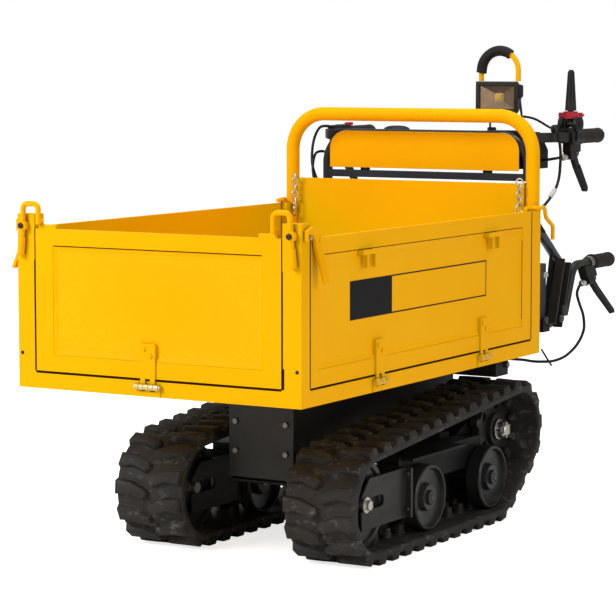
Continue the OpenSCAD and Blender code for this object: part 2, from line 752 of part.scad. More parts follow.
module rear_wall() color(yellow) placed() {
    wall_hw = leg_x - hoop_d / 2 - 1;
    block([-wall_hw, wall_hw], [wall_y, wall_y + sheet], [floor_z, wall_z1]);
    block([-wall_hw, wall_hw], [wall_y, wall_y + 14], [wall_z1 - sheet, wall_z1]);
}

module bed_hoop() color(yellow) placed() {
    rise = hoop_z1 - hoop_d / 2 - hoop_bend - floor_z;
    translate([-leg_x, leg_y, floor_z])
        bent_tube([[rise, hoop_bend, 90, 0], [2 * (leg_x - hoop_bend), hoop_bend, 90, 0], [rise]], hoop_d);
}

module hinge_pins() color(steel) placed() {
    translate([front_hinge_x, 0, 0]) hinge_pin();
    for (s = [-1, 1]) on_side(s) for (y = side_hinge_y) on_left(y) hinge_pin();
}

// Gate panel drawn as the front one: outer face at y = 0, pressed field towards -Y
module gate_panel(x, stile0, stile1) difference() {
    block(x, [0, gate_t], [gate_z0, gate_z1]);
    block([x[0] + stile0, x[1] - stile1], [-1, recess], [gate_z0 + border, gate_z1 - border]);
}

module front_gate() color(yellow) placed() {
    gate_panel([-front_gate_hw, front_gate_hw], border + 10, border + 10);
    translate([front_hinge_x, 0, 0]) hinge_moving();
    for (x = [-1, 1]) translate([x * (front_gate_hw - 32), 0, 0])
        block([-22, 22], [0, gate_t], [gate_z1, gate_z1 + keeper_h]);
}

// Rope hook below a side gate's top border
module rope_hook() {
    top = gate_z1 - border - 2;
    block([-31, 31], [-12, recess], [top - 10, top]);
    for (x = [-14, 21]) block([x, x + 10], [-12, -3], [top - 38, top - 10]);
}

module side_gate() {
    len_y = side_gate_y1 - side_gate_y0;
    translate([half_w, 0, 0]) rotate([0, 0, 90]) {
        gate_panel([side_gate_y0, side_gate_y1], border - 4, border + 14);
        for (y = side_hinge_y) translate([y, 0, 0]) hinge_moving();
        for (k = [0.22, 0.79]) translate([side_gate_y0 + k * len_y, 0, 0]) rope_hook();
        bar_y_way(lever_pivot[0], [-lever_t - 4, 1], lever_pivot[1], stud_d);
    }
}

module left_gate() color(yellow) placed() side_gate();
module right_gate() color(yellow) placed() on_side(-1) side_gate();

// Front latch: stud in the post's face, handle below it and a hook over the gate's keeper above it
module front_latch(s) color(yellow) placed() on_side(s) {
    p = front_pivot;
    round_bar(rounded([[p[0] + 6, hook_y, hook_bottom], [p[0], hook_y, p[1]], [p[0] - 2, hook_y, hook_top],
        [hook_x, hook_y, hook_top], [hook_x, hook_y, hook_rest]], 12), hook_d, 12, [0, 1, 0]);
    bar_y_way(hook_x, [hook_y, gate_t / 2], hook_rest + hook_d / 2, hook_d);
    bar_y_way(p[0], [hook_y, front_stud_l], p[1], front_stud_d);
}

// Side latch: flat lever on the gate with a hook over the post's stud and a handle bent outwards
module side_latch(s) color(yellow) placed() on_side(s) difference() {
    union() {
        plate_yz([half_w + 1, half_w + 1 + lever_t]) {
            translate(lever_pivot) circle(15);
            polygon([[lever_stud[0] - 14, lever_stud[1] + 18], lever_pivot + [0, 26], lever_pivot + [10, 0],
                lever_pivot + [-10, 0], [lever_stud[0] + 8, lever_stud[1] + 6],
                [lever_stud[0] - 8, lever_stud[1] + 6], [lever_stud[0] - 8, lever_stud[1] - 8],
                [lever_stud[0] - 14, lever_stud[1] - 8]]);
        }
        translate([half_w + 1, lever_pivot[0] + lever_w / 2, lever_pivot[1]]) rotate([90, 0, 0])
            linear_extrude(lever_w) polygon([[0, -6], [0, -24], [lever_flare, -lever_handle],
                [lever_flare + lever_t, -lever_handle], [lever_t, -24], [lever_t, -6]]);
    }
    bar_x_way([half_w - 1, half_w + 20], lever_pivot[0], lever_pivot[1], stud_d + 2 * run_gap);
}

// Rear latch: finger over the gate's end, pintle in the rear post and a cranked handle behind it
module rear_latch(s) color(yellow) placed() on_side(s) {
    p = rear_pintle;
    z = rear_rod_z;
    round_bar(rounded([[p[0], side_gate_y1 - 14, z], [p[0], p[1] + 1, z], [half_w + 8, p[1] + 17, z],
        [half_w + 8, bed_l + 4, z], [half_w + 8, bed_l + 14, z - 26], [half_w + 8, bed_l + 54, z - 48],
        [half_w + 8, bed_l + 54, z - 82]], 8),
        rear_rod_d, 12, [1, 0, 0.2]);
    translate([p[0], p[1], gate_z1 - pintle_l + 1]) cylinder(d = rear_rod_d, h = pintle_l + 6);
}

module front_left_latch() front_latch(1);
module front_right_latch() front_latch(-1);
module left_front_latch() side_latch(1);
module right_front_latch() side_latch(-1);
module left_rear_latch() rear_latch(1);
module right_rear_latch() rear_latch(-1);

// Tie chains on the hoop's legs
link_r = 9;
link_d = 4;
link_step = 2 * link_r - 2 * link_d + 3.4;
eye_out = hoop_d / 2 + 19;
eye_turn = -38;
eye_z = wall_z1 + 4;

// Place of an eye bolt's ring, in front of the hoop's leg and inside it
module at_eye() {
    translate([leg_x, leg_y, eye_z]) rotate([0, 0, eye_turn]) translate([0, -eye_out, 0]) children();
}

module ring(r, d) {
    rotate_extrude() translate([r, 0]) circle(d = d, $fn = 24);
}

module bed_bolts() color(steel) placed() for (s = [-1, 1]) on_side(s) {
    bar_x_way([half_w, half_w + lever_t + 3], lever_stud[0], lever_stud[1], stud_d);
    at_eye() rotate([0, 90, 0]) ring(link_r, link_d);
    difference() {
        at_eye() bar_y_way(0, [link_r, eye_out], 0, 6);
        translate([leg_x, leg_y, 0]) cylinder(d = hoop_d, h = hoop_z1);
    }
}

module chain(s) color(steel) placed() on_side(s) at_eye() {
    for (i = [1 : 3]) translate([0, 0, -i * link_step]) rotate([90, 0, i % 2 == 1 ? 0 : 90]) ring(link_r,
        link_d);
    translate([0, 0, -4 * link_step]) {
        rotate([90, 0, 90]) ring(link_r, link_d);
        translate([0, 0, -link_r - 34]) cylinder(d = 9, h = 35);
        translate([0, 0, -link_r - 42]) rotate([90, 0, 90]) ring(link_r, link_d);
    }
}

module left_chain() chain(1);
module right_chain() chain(-1);

// Console

module console_hoop() color(navy) placed() {
    rise = console_top - console_d / 2 - console_bend - knee_z;
    fall = [foot_y - hoop_y, knee_z - foot_z];
    translate([-console_x, hoop_y, knee_z])
        bent_tube([[rise, console_bend, 90, 0], [console_w - 2 * console_bend, console_bend, 90, 0], [rise]],
            console_d);
    for (x = [-console_x, console_x]) translate([x, hoop_y, knee_z]) {
        sphere(d = console_d + knee_bead);
        rotate([-90 - atan2(fall[1], fall[0]), 0, 0]) cylinder(d = console_d, h = norm(fall));
    }
    block([-console_x, console_x], [hoop_y - bar18 / 2, hoop_y + bar18 / 2], [bar18_z - bar18 / 2,
        bar18_z + bar18 / 2]);
    for (x = [-console_x, console_x])
        plate_yz([x - 5, x + 5]) polygon([[foot_y - 34, foot_z + 32], [foot_y + 14, foot_z - 2],
            [rear_y1 + 34, rear_z0 + 6], [rear_y1, rear_z0 + 6], [rear_y1, rear_z1 + 20]]);
}

module console_cover() color(yellow) placed() {
    h = cover_z1 - cover_z0;
    translate([-cover_x, cover_y + cover_t, cover_z0]) rotate([90, 0, 0])
        linear_extrude(cover_t) tab_outline(2 * cover_x, h, min(console_bend - 20, h / 2 - 1));
}

module control_box() color(black) placed() {
    difference() {
        union() {
            plate_yz([-box_wide, box_wide]) polygon([[box_y0, box_z0], [box_y0, box_z1],
                [box_y1 - 50, box_z1], [box_y1, box_z1 - 46], [box_y1, box_z0]]);
            plate_yz([-box_x, box_x]) polygon([[cover_y + cover_t, box_z0], [cover_y + cover_t,
                box_z0 + 40], [hoop_y - console_d / 2 - 1, box_z0 + 40], [hoop_y - console_d / 2 - 1,
                box_z1 - 34], [box_y0 + 1, box_z1 - 34], [box_y0 + 1, box_z0]]);
        }
        panel_button(stop_x) translate([0, 0, -10]) cylinder(d = stop_d + 2 * body_gap, h = 12);
    }
    for (x = [-box_x + 20, box_x - 40])
        block([x, x + 20], [hoop_y - 8, hoop_y + 8], [bar18_z + bar18 / 2, box_z0]);
}

module key_switch() color(steel) placed() panel_button(key_x) {
    cylinder(d = 14, h = 6);
    translate([-1.5, -8, 6]) cube([3, 16, 16]);
}

// Seat on the sloping rear face of the control box
module panel_button(x) {
    slope = atan2(46, 50);
    translate([x, box_y1 - 25, box_z1 - 23]) rotate([-slope, 0, 0]) translate([0, 0, body_gap]) children();
}

module stop_button() color(red) placed() panel_button(stop_x) {
    translate([0, 0, 7]) cylinder(d = 34, h = 9);
    cylinder(d = stop_d, h = 8);
}

module controller_box() color("#4a4c50") placed() {
    block([-controller_x, controller_x], [controller_y0, controller_y1], [rear_z1, controller_z1]);
}

// Handlebars and controls

module handlebars() color(black) placed() for (s = [-1, 1]) on_side(s) {
    translate([0, 0, bar_z - bar_w / 2]) linear_extrude(bar_w) polygon([[box_wide, bar_y0],
        [box_wide, bar_y0 + 52], [hand_x - bar_w / 2, bar_y0 + 84], [hand_x - bar_w / 2, grip_y0],
        [hand_x + bar_w / 2, grip_y0], [hand_x + bar_w / 2, bar_y0 + 74], [box_wide + 8, bar_y0]]);
    bar_y_way(hand_x, [grip_y0, grip_y0 + grip_l - 12], bar_z, tip_d);
}

// Hand grip along Y from the origin, with a flange at its front end and a blind bore
module grip(bore) rotate([-90, 0, 0]) difference() {
    union() {
        cylinder(d = grip_d, h = grip_l - 8);
        translate([0, 0, grip_l - 8]) cylinder(d1 = grip_d, d2 = grip_d - 10, h = 8);
        cylinder(d = grip_d + 5, h = 5);
    }
    translate([0, 0, -1]) cylinder(d = bore, h = grip_l - 11);
}

module fixed_grips() color(rubber) placed() {
    translate([hand_x, grip_y0, bar_z]) grip(tip_d);
    translate([low_x, tip_y0, tip_z]) grip(tip_d);
}

module throttle_grip() color(rubber) placed() {
    translate([-hand_x, grip_y0 + body_gap, bar_z]) grip(tip_d + 2 * run_gap);
}

// Lever perch below a tube along Y at the origin, grip starting at y = 0
module perch(seat) difference() {
    union() {
        block([-11, 11], [perch_y0 + 24, -6], [-lever_drop + 4, -seat]);
        plate_yz([-11, 11]) polygon([[perch_y0 + 24, -seat - 2], [-8, -seat - 2], [-lever_back + 14,
            -lever_drop - 4],
            [-lever_back - 10, -lever_drop - 16], [perch_y0 + 30, -lever_drop - 14]]);
        bar_y_way(0, [perch_y0, perch_y0 + 36], -lever_drop - 8, 11);
    }
    block([-6.5, 6.5], [-lever_back - 22, 0], [-lever_drop - 30, -lever_drop + 14]);
    bar_y_way(0, [perch_y0 - 1, -lever_back - 20], -lever_drop - 8, cable_d);
    bar_x_way([-20, 20], -lever_back, -lever_drop, lever_pin_d);
}

module lever_pin() {
    bar_x_way([-13, 13], -lever_back, -lever_drop, lever_pin_d);
}

module lever_blade() translate([0, -lever_back, -lever_drop]) plate_yz([-6, 6]) difference() {
    union() {
        circle(10);
        rotate(-lever_angle) {
            polygon([[-2, -10], [lever_l * 0.3, -13], [lever_l, -8], [lever_l, 7], [lever_l * 0.3, 5],
                [0, 10]]);
            translate([lever_l, -0.5]) circle(7.5);
        }
    }
    circle(lever_pin_d / 2 + run_gap);
}

module at_left_bar() translate([hand_x, grip_y0, bar_z]) children();
module at_right_bar() translate([-hand_x, grip_y0, bar_z]) children();
module at_tip_bar() translate([low_x, tip_y0, tip_z]) rotate([0, -tip_twist, 0]) children();

module lever_perches() color(black) placed() {
    at_left_bar() perch(bar_w / 2);
    at_right_bar() perch(bar_w / 2);
    at_tip_bar() difference() {
        perch(tip_d / 2 - 2);
        bar_y_way(0, [perch_y0, 0], 0, tip_d);
    }
}

module left_lever() color(black) placed() at_left_bar() lever_blade();
module right_lever() color(black) placed() at_right_bar() lever_blade();
module tip_lever() color(black) placed() at_tip_bar() lever_blade();

// Switch housings round the square bars; the left one carries the drive lever
module switch_housings() color(black) placed() {
    for (s = [-1, 1]) on_side(s) difference() {
        union() {
            bar_y_way(hand_x, [housing_y0 + 20, housing_y1], bar_z, 46);
            block([hand_x - 19, hand_x + 19], [housing_y0, housing_y1 - 12], [bar_z - 16,
                bar_z + bar_w / 2 + 9]);
            if (s > 0) for (x = [-15, 9])
                block([hand_x + x, hand_x + x + 6], [stick_y - 13, stick_y + 13], [bar_z + bar_w / 2,
                    stick_z + 7]);
        }
        block([hand_x - bar_w / 2, hand_x + bar_w / 2], [housing_y0 - 1, housing_y1 + 1],
            [bar_z - bar_w / 2, bar_z + bar_w / 2]);
        block([hand_x - 12, hand_x + 12], [perch_y0 + grip_y0, grip_y0], [bar_z - 60, bar_z - bar_w / 2]);
        bar_x_way([hand_x - 40, hand_x + 40], stick_y, stick_z, stick_pin_d);
    }
    bar_x_way([hand_x - 17, hand_x + 17], stick_y, stick_z, stick_pin_d);
}

module drive_lever() color(black) placed() translate([hand_x, stick_y, stick_z]) difference() {
    union() {
        bar_x_way([-8.5, 8.5], 0, 0, 17);
        cylinder(d = 16, h = 36);
        translate([0, 0, 34]) cylinder(d1 = 29, d2 = 17, h = 96);
        translate([0, 0, 130]) cylinder(d1 = 17, d2 = 10, h = 6);
    }
    bar_x_way([-20, 20], 0, 0, stick_pin_d + 2 * run_gap);
}

module lock_collar() color(red) placed() translate([hand_x, stick_y, collar_z]) difference() {
    union() {
        cylinder(d = 36, h = 18);
        translate([-28, -12, 3]) cube([56, 24, 12]);
        bar_x_way([28, 36], 0, 9, 6);
    }
    translate([0, 0, -1]) cylinder(d = 16 + 2 * run_gap, h = 30);
}

// Lower handle: leaning channel on the rear beam and a bent tube that carries the grip
module tip_handle() color(black) placed() {
    lean = atan2(channel_head[0] - channel_foot[0], channel_head[1] - channel_foot[1]);
    rise = norm(channel_head - channel_foot);
    tilt = 24;
    knee_y = tip_foot[0] + (tip_z - tip_foot[1]) * tan(tilt);
    round_bar(rounded([[low_x, tip_foot[0], tip_foot[1]], [low_x, knee_y, tip_z],
        [low_x, tip_y0 + grip_l - 12, tip_z]], tip_bend, 8), tip_d, 20, [1, 0, 0]);
    translate([low_x - channel_d / 2, channel_foot[0], channel_foot[1]]) rotate([-lean, 0, 0]) difference() {
        translate([0, -channel_w / 2, -20]) cube([channel_d, channel_w, rise + 20]);
        translate([4, -channel_w / 2 + 5, -21]) cube([channel_d, channel_w - 10, rise + 22]);
    }
    difference() {
        block([low_x - channel_d / 2, low_x + 11], [channel_foot[0] + 10, tip_foot[0]],
            [tip_foot[1] - 8, tip_foot[1] + 20]);
        block([0, half_w], [0, channel_foot[0] + 16], [0, console_top]);
    }
}

// Catch that holds the bed's tongue down, let go by the lower lever's cable
module bed_catch() color(black) placed() difference() {
    nose_y = bed_l + tongue_l + 1;
    plate_yz([catch_x - 10, catch_x + 10])
        polygon([[catch_y - 9, catch_z], [catch_y - 13, tongue_z + tongue_t + 1.5], [nose_y,
            tongue_z + tongue_t + 1.5],
            [nose_y + 2, tongue_z + tongue_t + 12], [catch_y + 4, tongue_z + tongue_t + 14],
                [catch_y + 10, catch_z],
            [catch_y + 5, catch_z - 24], [catch_y - 5, catch_z - 24]]);
    bar_x_way([0, half_w], catch_y, catch_z, catch_pin_d + 2 * run_gap);
}

// Work light

module lamp_bracket() color(black) placed() translate([lamp_x, lamp_y, 0]) {
    knee_z = lamp_z - lamp_h / 2 - 2;
    block([-lamp_arm_x - 3, lamp_arm_x + 3], [0, lamp_back + 8], [lamp_foot_z, lamp_foot_z + 3]);
    for (s = [-1, 1]) on_side(s) {
        plate_yz([lamp_arm_x, lamp_arm_x + 3]) {
            translate([0, lamp_z]) circle(9);
            polygon([[-9, lamp_z], [-5, lamp_z - 10], [lamp_back, knee_z], [lamp_back, lamp_foot_z],
                [lamp_back + 8, lamp_foot_z], [lamp_back + 8, knee_z + 4], [9, lamp_z]]);
        }
        bar_x_way([lamp_arm_x - 5, lamp_arm_x + 9], 0, lamp_z, lamp_pin_d);
    }
}

module lamp_head() color(black) placed() translate([lamp_x, lamp_y, lamp_z]) {
    front = -lamp_t + 4;
    difference() {
        union() {
            block([-lamp_w / 2, lamp_w / 2], [front, -lamp_back], [-lamp_h / 2, lamp_h / 2]);
            block([-30, 30], [-lamp_back, lamp_back], [-lamp_h / 2 + 12, lamp_h / 2 - 4]);
            for (s = [-1, 1]) on_side(s) bar_x_way([30, lamp_arm_x - 0.5], 0, 0, 20);
        }
        block([-lamp_w / 2 + 12, lamp_w / 2 - 12], [front - 1, front + 18], [-lamp_h / 2 + 11,
            lamp_h / 2 - 11]);
        bar_x_way([-lamp_arm_x - 8, lamp_arm_x + 8], 0, 0, lamp_pin_d + 2 * run_gap);
    }
}

module lamp_lens() color("#c9b37a") placed() translate([lamp_x, lamp_y, lamp_z])
    block([-lamp_w / 2 + 12, lamp_w / 2 - 12], [-lamp_t + 6, -lamp_t + 9], [-lamp_h / 2 + 11,
        lamp_h / 2 - 11]);

lamp_bend = lamp_handle_w / 2 - 1;
lamp_rise = lamp_top - foam_d / 2 - lamp_bend - lamp_z - lamp_h / 2;

module at_lamp_handle() {
    translate([lamp_x, lamp_y - 20, lamp_z + lamp_h / 2]) children();
}

module lamp_handle() color(yellow) placed() at_lamp_handle() translate([-lamp_handle_w / 2, 0, 0])
    bent_tube([[lamp_rise, lamp_bend, 90, 0], [2, lamp_bend, 90, 0], [lamp_rise]], lamp_handle_d);

// Foam sleeve over the handle's left bend and most of its top
module lamp_grip() color(black) placed() at_lamp_handle() translate([-1, 0, lamp_rise])
    rotate([90, 0, 0]) rotate([0, 0, 90]) rotate_extrude(angle = 88) translate([lamp_bend, 0]) difference() {
        circle(d = foam_d);
        circle(d = lamp_handle_d);
    }

module cables() color("#17171a") placed() {
    for (route = [drive_cable, left_cable, right_cable, throttle_cable, tip_cable, lamp_lead])
        cable(route);
}

// Bolts

module hex_bolt(d, h) cylinder(d = d, h = h, $fn = 6);

module bolts() color(steel) placed() {
    at_left_bar() lever_pin();
    at_right_bar() lever_pin();
    at_tip_bar() lever_pin();
    for (x = [-67, 67], z = [pivot_z - 84, pivot_z - 152]) translate([x, core_y, z]) rotate([90, 0, 0])
        hex_bolt(14, 6);
    for (s = [-1, 1]) on_side(s) {
        for (z = [fork_z0 + 20, fork_z1 - 14]) translate([track_x + (fork_u + fork_t + disc_u1) / 2,
            fork_y1, z])
            rotate([90, 0, 0]) hex_bolt(10, 6);
        translate([rest_x, rest_y1 - 14, bed_z - 30]) rotate([0, 90, 0]) hex_bolt(16, 8);
    }
}

module left_track() placed() side_track(1);
module right_track() placed() side_track(-1);
module left_sprocket() color(black) placed() translate([track_x, sprocket_y, sprocket_z]) sprocket();
module right_sprocket() color(black) placed() on_side(-1) translate([track_x, sprocket_y, sprocket_z])
    sprocket();
module left_idler() color(black) placed() translate([track_x, idler_y, idler_z]) idler();
module right_idler() color(black) placed() on_side(-1) translate([track_x, idler_y, idler_z]) idler();
module left_front_roller() placed() side_roller(1, roller1_y);
module left_rear_roller() placed() side_roller(1, roller2_y);
module right_front_roller() placed() side_roller(-1, roller1_y);
module right_rear_roller() placed() side_roller(-1, roller2_y);

chassis_frame();
front_plate();
pivot_pin();
batteries();
drive_motors();
gearboxes();
track_frames();
tension_forks();
left_track();
right_track();
wheel_axles();
left_sprocket();
right_sprocket();
left_idler();
right_idler();
left_front_roller();
left_rear_roller();
right_front_roller();
right_rear_roller();
bed_frame();
rear_wall();
bed_hoop();
hinge_pins();
bed_bolts();
front_gate();
left_gate();
right_gate();
front_left_latch();
front_right_latch();
left_front_latch();
right_front_latch();
left_rear_latch();
right_rear_latch();
left_chain();
right_chain();
console_hoop();
console_cover();
control_box();
controller_box();
key_switch();
stop_button();
handlebars();
fixed_grips();
throttle_grip();
lever_perches();
switch_housings();
left_lever();
right_lever();
drive_lever();
lock_collar();
tip_handle();
tip_lever();
bed_catch();
lamp_bracket();
lamp_head();
lamp_lens();
lamp_handle();
lamp_grip();
cables();
bolts();
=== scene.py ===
import json
import math
import bmesh
import bpy
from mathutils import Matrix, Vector


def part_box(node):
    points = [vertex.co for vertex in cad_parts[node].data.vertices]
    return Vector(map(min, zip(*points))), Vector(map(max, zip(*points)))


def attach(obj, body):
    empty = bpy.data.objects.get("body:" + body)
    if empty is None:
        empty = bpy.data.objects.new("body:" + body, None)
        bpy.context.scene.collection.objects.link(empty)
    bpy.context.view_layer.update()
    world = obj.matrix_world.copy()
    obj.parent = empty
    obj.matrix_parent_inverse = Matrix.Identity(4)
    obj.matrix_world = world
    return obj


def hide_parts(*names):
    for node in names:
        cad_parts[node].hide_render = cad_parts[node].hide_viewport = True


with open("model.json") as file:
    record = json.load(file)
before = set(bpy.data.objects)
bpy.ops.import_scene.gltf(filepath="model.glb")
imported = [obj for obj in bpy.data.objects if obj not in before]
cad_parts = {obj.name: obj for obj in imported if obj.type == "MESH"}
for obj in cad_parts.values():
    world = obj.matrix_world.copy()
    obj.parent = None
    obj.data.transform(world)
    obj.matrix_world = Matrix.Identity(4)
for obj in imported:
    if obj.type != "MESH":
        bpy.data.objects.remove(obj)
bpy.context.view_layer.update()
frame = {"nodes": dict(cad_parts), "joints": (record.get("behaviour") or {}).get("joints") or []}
jointAt = {joint["name"]: Vector(joint["pos_m"]) for joint in frame["joints"]}
mm = 0.001
weld = 1e-5  # corners nearer than this become one
bothSides = ((1, "left"), (-1, "right"))
bedShape = {"pivot": 455, "face": 360}  # front face to tipping pivot, middle to a side gate's face
bedFront = jointAt["bed_tip"].y - bedShape["pivot"] * mm
print("frame loaded:", len(frame["nodes"]), "nodes")


def fromBed(x, y, z):  # millimetres, y counted back from the bed's front face
    return Vector((x * mm, bedFront + y * mm, z * mm))


def bedPath(places):
    return [fromBed(*place) for place in places]


# Node tools

def feed(node, inputs):  # sets or links inputs; colours are red, green and blue
    for key, value in inputs.items():
        socket = node.inputs[key]
        if isinstance(value, bpy.types.NodeSocket):
            node.id_data.links.new(value, socket)
        else:
            socket.default_value = (*value, 1) if socket.type == "RGBA" else value
    return node


def addNode(start, kind, inputs=None, **settings):  # in the same tree as the start, a node or a socket
    node = start.id_data.nodes.new("ShaderNode" + kind)
    for key, value in settings.items():
        setattr(node, key, value)
    return feed(node, inputs or {})


def grain(coords, scale, detail=3, roughness=0.5, stretch=None):
    if stretch:
        coords = addNode(coords, "Mapping", {"Vector": coords, "Scale": stretch}).outputs["Vector"]
    inputs = {"Vector": coords, "Scale": scale, "Detail": detail, "Roughness": roughness}
    return addNode(coords, "TexNoise", inputs).outputs["Fac"]


def ranged(value, fromLow, fromHigh, toLow=0, toHigh=1):
    inputs = {"Value": value, "From Min": fromLow, "From Max": fromHigh, "To Min": toLow, "To Max": toHigh}
    return addNode(value, "MapRange", inputs).outputs["Result"]


def times(first, second):
    return addNode(first, "Math", {0: first, 1: second}, operation="MULTIPLY").outputs["Value"]


def tint(amount, first, second):  # sockets 6, 7 and 2 are the colour ones
    return addNode(amount, "Mix", {0: amount, 6: first, 7: second}, data_type="RGBA").outputs[2]


def relief(height, strength, depth, under=None):
    node = addNode(height, "Bump", {"Height": height, "Strength": strength, "Distance": depth})
    return feed(node, {"Normal": under} if under else {}).outputs["Normal"]


def edges(shader, radius, least, most):  # 0 on flat faces, 1 along convex and hollow edges
    bevel = addNode(shader, "Bevel", {"Radius": radius}, samples=4).outputs["Normal"]
    face = addNode(shader, "NewGeometry").outputs["Normal"]
    dot = addNode(shader, "VectorMath", {0: bevel, 1: face}, operation="DOT_PRODUCT")
    return ranged(dot.outputs["Value"], most, least)


def crevice(shader, reach, none=0.5, full=0.2):  # 1 in narrow gaps, 0 on open faces; the mask for painted shade
    shade = addNode(shader, "AmbientOcclusion", {"Distance": reach}, samples=6)
    return ranged(shade.outputs["AO"], none, full)


# Camera and light

studio = {
    "cameraAt": (2.9141, -5.1731, 1.1233),
    "cameraTurn": (84.261, 0, 30.366),
    "lens": 144.4,
    "sensor": 36,
    "reach": 100,
    "floorSize": 60,
    "floorGlow": 0.74,
    "worldGlow": 0.42,
    "backdrop": 1.0,
    "lights": (
        ("key_light", (-2.2, -4.6, 3.4), (0, -0.4, 0.5), 2.6, 216),
        ("side_light", (5.0, -1.2, 2.2), (0, 0, 0.5), 2.4, 58),
        ("top_light", (0.2, 0.6, 4.4), (0, 0, 0.5), 3.0, 92),
    ),
}


def setStudio():
    scene = bpy.context.scene
    camera = bpy.data.objects.new("camera", bpy.data.cameras.new("camera"))
    camera.location = studio["cameraAt"]
    camera.rotation_euler = [math.radians(a) for a in studio["cameraTurn"]]
    camera.data.lens = studio["lens"]
    camera.data.sensor_width = studio["sensor"]
    camera.data.clip_end = studio["reach"]
    scene.collection.objects.link(camera)
    scene.camera = camera
    scene.view_settings.view_transform = "Standard"
    world = bpy.data.worlds.new("studio_air")
    world.use_nodes = True
    air = world.node_tree.nodes["Background"]
    seen = addNode(air, "LightPath").outputs["Is Camera Ray"]  # a white backdrop that gives softer light
    glow = ranged(seen, 0, 1, studio["worldGlow"], studio["backdrop"])
    feed(air, {"Color": (1, 1, 1), "Strength": glow})
    scene.world = world
    for light in studio["lights"]:
        softLight(*light)


def softLight(name, place, target, size, power):
    lamp = bpy.data.lights.new(name, "AREA")
    lamp.shape = "DISK"
    lamp.size = size
    lamp.energy = power
    light = bpy.data.objects.new(name, lamp)
    light.location = place
    light.rotation_euler = (Vector(target) - Vector(place)).to_track_quat("-Z", "Y").to_euler()
    bpy.context.scene.collection.objects.link(light)


setStudio()
print("studio set")


# Hand tools; clearSelection and takeUp leave edit mode

def clearSelection():
    if bpy.context.object and bpy.context.object.mode != "OBJECT":
        bpy.ops.object.mode_set(mode="OBJECT")
    bpy.ops.object.select_all(action="DESELECT")


def takeUp(*objects):
    clearSelection()
    for obj in objects:
        obj.select_set(True)
    bpy.context.view_layer.objects.active = objects[0]


def settle(name):  # names the new primitive and puts its place in its mesh
    obj = bpy.context.object
    obj.name = name
    obj.data.name = name
    bpy.ops.object.transform_apply()
    return obj


def addBlock(name, low, high):
    clearSelection()
    bpy.ops.mesh.primitive_cube_add(size=1, location=(low + high) / 2, scale=high - low)
    return settle(name)


def addRod(name, start, end, radius, sides=32):
    clearSelection()
    way = end - start
    bpy.ops.mesh.primitive_cylinder_add(vertices=sides, radius=radius * mm, depth=way.length,
                                        location=(start + end) / 2, rotation=way.to_track_quat("Z", "Y").to_euler())
    return settle(name)


def bedBlock(name, low, high):
    return addBlock(name, *bedPath((low, high)))


def onSide(side, places):  # places on the left, or their mirror on the right, -1
    return [(side * x, y, z) for x, y, z in places]


def bedRod(name, start, end, radius, sides=32, edge=0, segments=2, side=1):
    rod = addRod(name, *bedPath(onSide(side, (start, end))), radius, sides)
    return roundEdges(rod, edge, segments) if edge else rod


def crossRod(name, span, place, sides, edge):  # the span is from, to and radius, along x
    x, y, z = place
    start, end, radius = span
    return bedRod(name, (x + start, y, z), (x + end, y, z), radius, sides, edge)


def addOutline(name, points):  # a flat face with one corner for each point
    clearSelection()
    bpy.ops.mesh.primitive_circle_add(vertices=len(points), radius=1, fill_type="NGON")
    obj = settle(name)
    for vertex, point in zip(obj.data.vertices, points):
        vertex.co = point
    return obj


def pick(obj, kind="FACE", test=lambda part: True):  # edit mode, only the parts that pass the test selected
    takeUp(obj)
    bpy.ops.object.mode_set(mode="EDIT")
    bpy.ops.mesh.select_mode(type=kind)
    bpy.ops.mesh.select_all(action="DESELECT")
    mesh = bmesh.from_edit_mesh(obj.data)
    mesh.normal_update()
    parts = {"VERT": mesh.verts, "EDGE": mesh.edges, "FACE": mesh.faces}[kind]
    for part in [p for p in parts if test(p)]:
        part.select_set(True)
    bmesh.update_edit_mesh(obj.data)


def alongEdge(axis):  # edges that run along one axis
    def test(edge):
        way = edge.verts[1].co - edge.verts[0].co
        return abs(way[axis]) > 0.99 * way.length
    return test


def facing(axis, sign):  # faces that look along one axis
    return lambda face: face.normal[axis] * sign > 0.99


def pull(x, y, z):  # extrudes what is selected, in metres
    bpy.ops.mesh.extrude_region_move(TRANSFORM_OT_translate={"value": (x, y, z)})


def addModifier(obj, kind, **settings):
    modifier = obj.modifiers.new(kind.lower(), kind)
    for key, value in settings.items():
        setattr(modifier, key, value)
    return modifier.name


def modify(obj, kind, **settings):
    takeUp(obj)
    bpy.ops.object.modifier_apply(modifier=addModifier(obj, kind, **settings))
    return obj


def roundEdges(obj, width, segments=2, angle=35):
    return modify(obj, "BEVEL", width=width * mm, segments=segments, limit_method="ANGLE",
                  angle_limit=math.radians(angle))


def shift(obj, way):
    takeUp(obj)
    obj.location = way
    bpy.ops.object.transform_apply()
    return obj


def toSide(obj, side):  # pieces are modelled on the left and mirrored for the right, -1
    takeUp(obj)
    obj.scale.x = side
    bpy.ops.object.transform_apply()
    return obj


def joinAs(name, parts):
    takeUp(*parts)
    if len(parts) > 1:
        bpy.ops.object.join()
    parts[0].name = name
    parts[0].data.name = name
    return parts[0]


def startCurve(name, kind, diameter):
    curve = bpy.data.curves.new(name, "CURVE")
    curve.dimensions = "3D"
    curve.bevel_depth = diameter * mm / 2
    curve.bevel_resolution = 4
    curve.use_fill_caps = True
    return curve, curve.splines.new(kind)


def curveMesh(name, curve):
    obj = bpy.data.objects.new(name, curve)
    bpy.context.scene.collection.objects.link(obj)
    takeUp(obj)
    bpy.ops.object.convert(target="MESH")
    return bpy.context.object


def sweepTube(name, path, diameter=0):  # a round bar along a line of points, or only the line
    curve, line = startCurve(name, "POLY", diameter)
    line.points.add(len(path) - 1)
    for knot, point in zip(line.points, path):
        knot.co = (*point, 1)
    return curveMesh(name, curve)


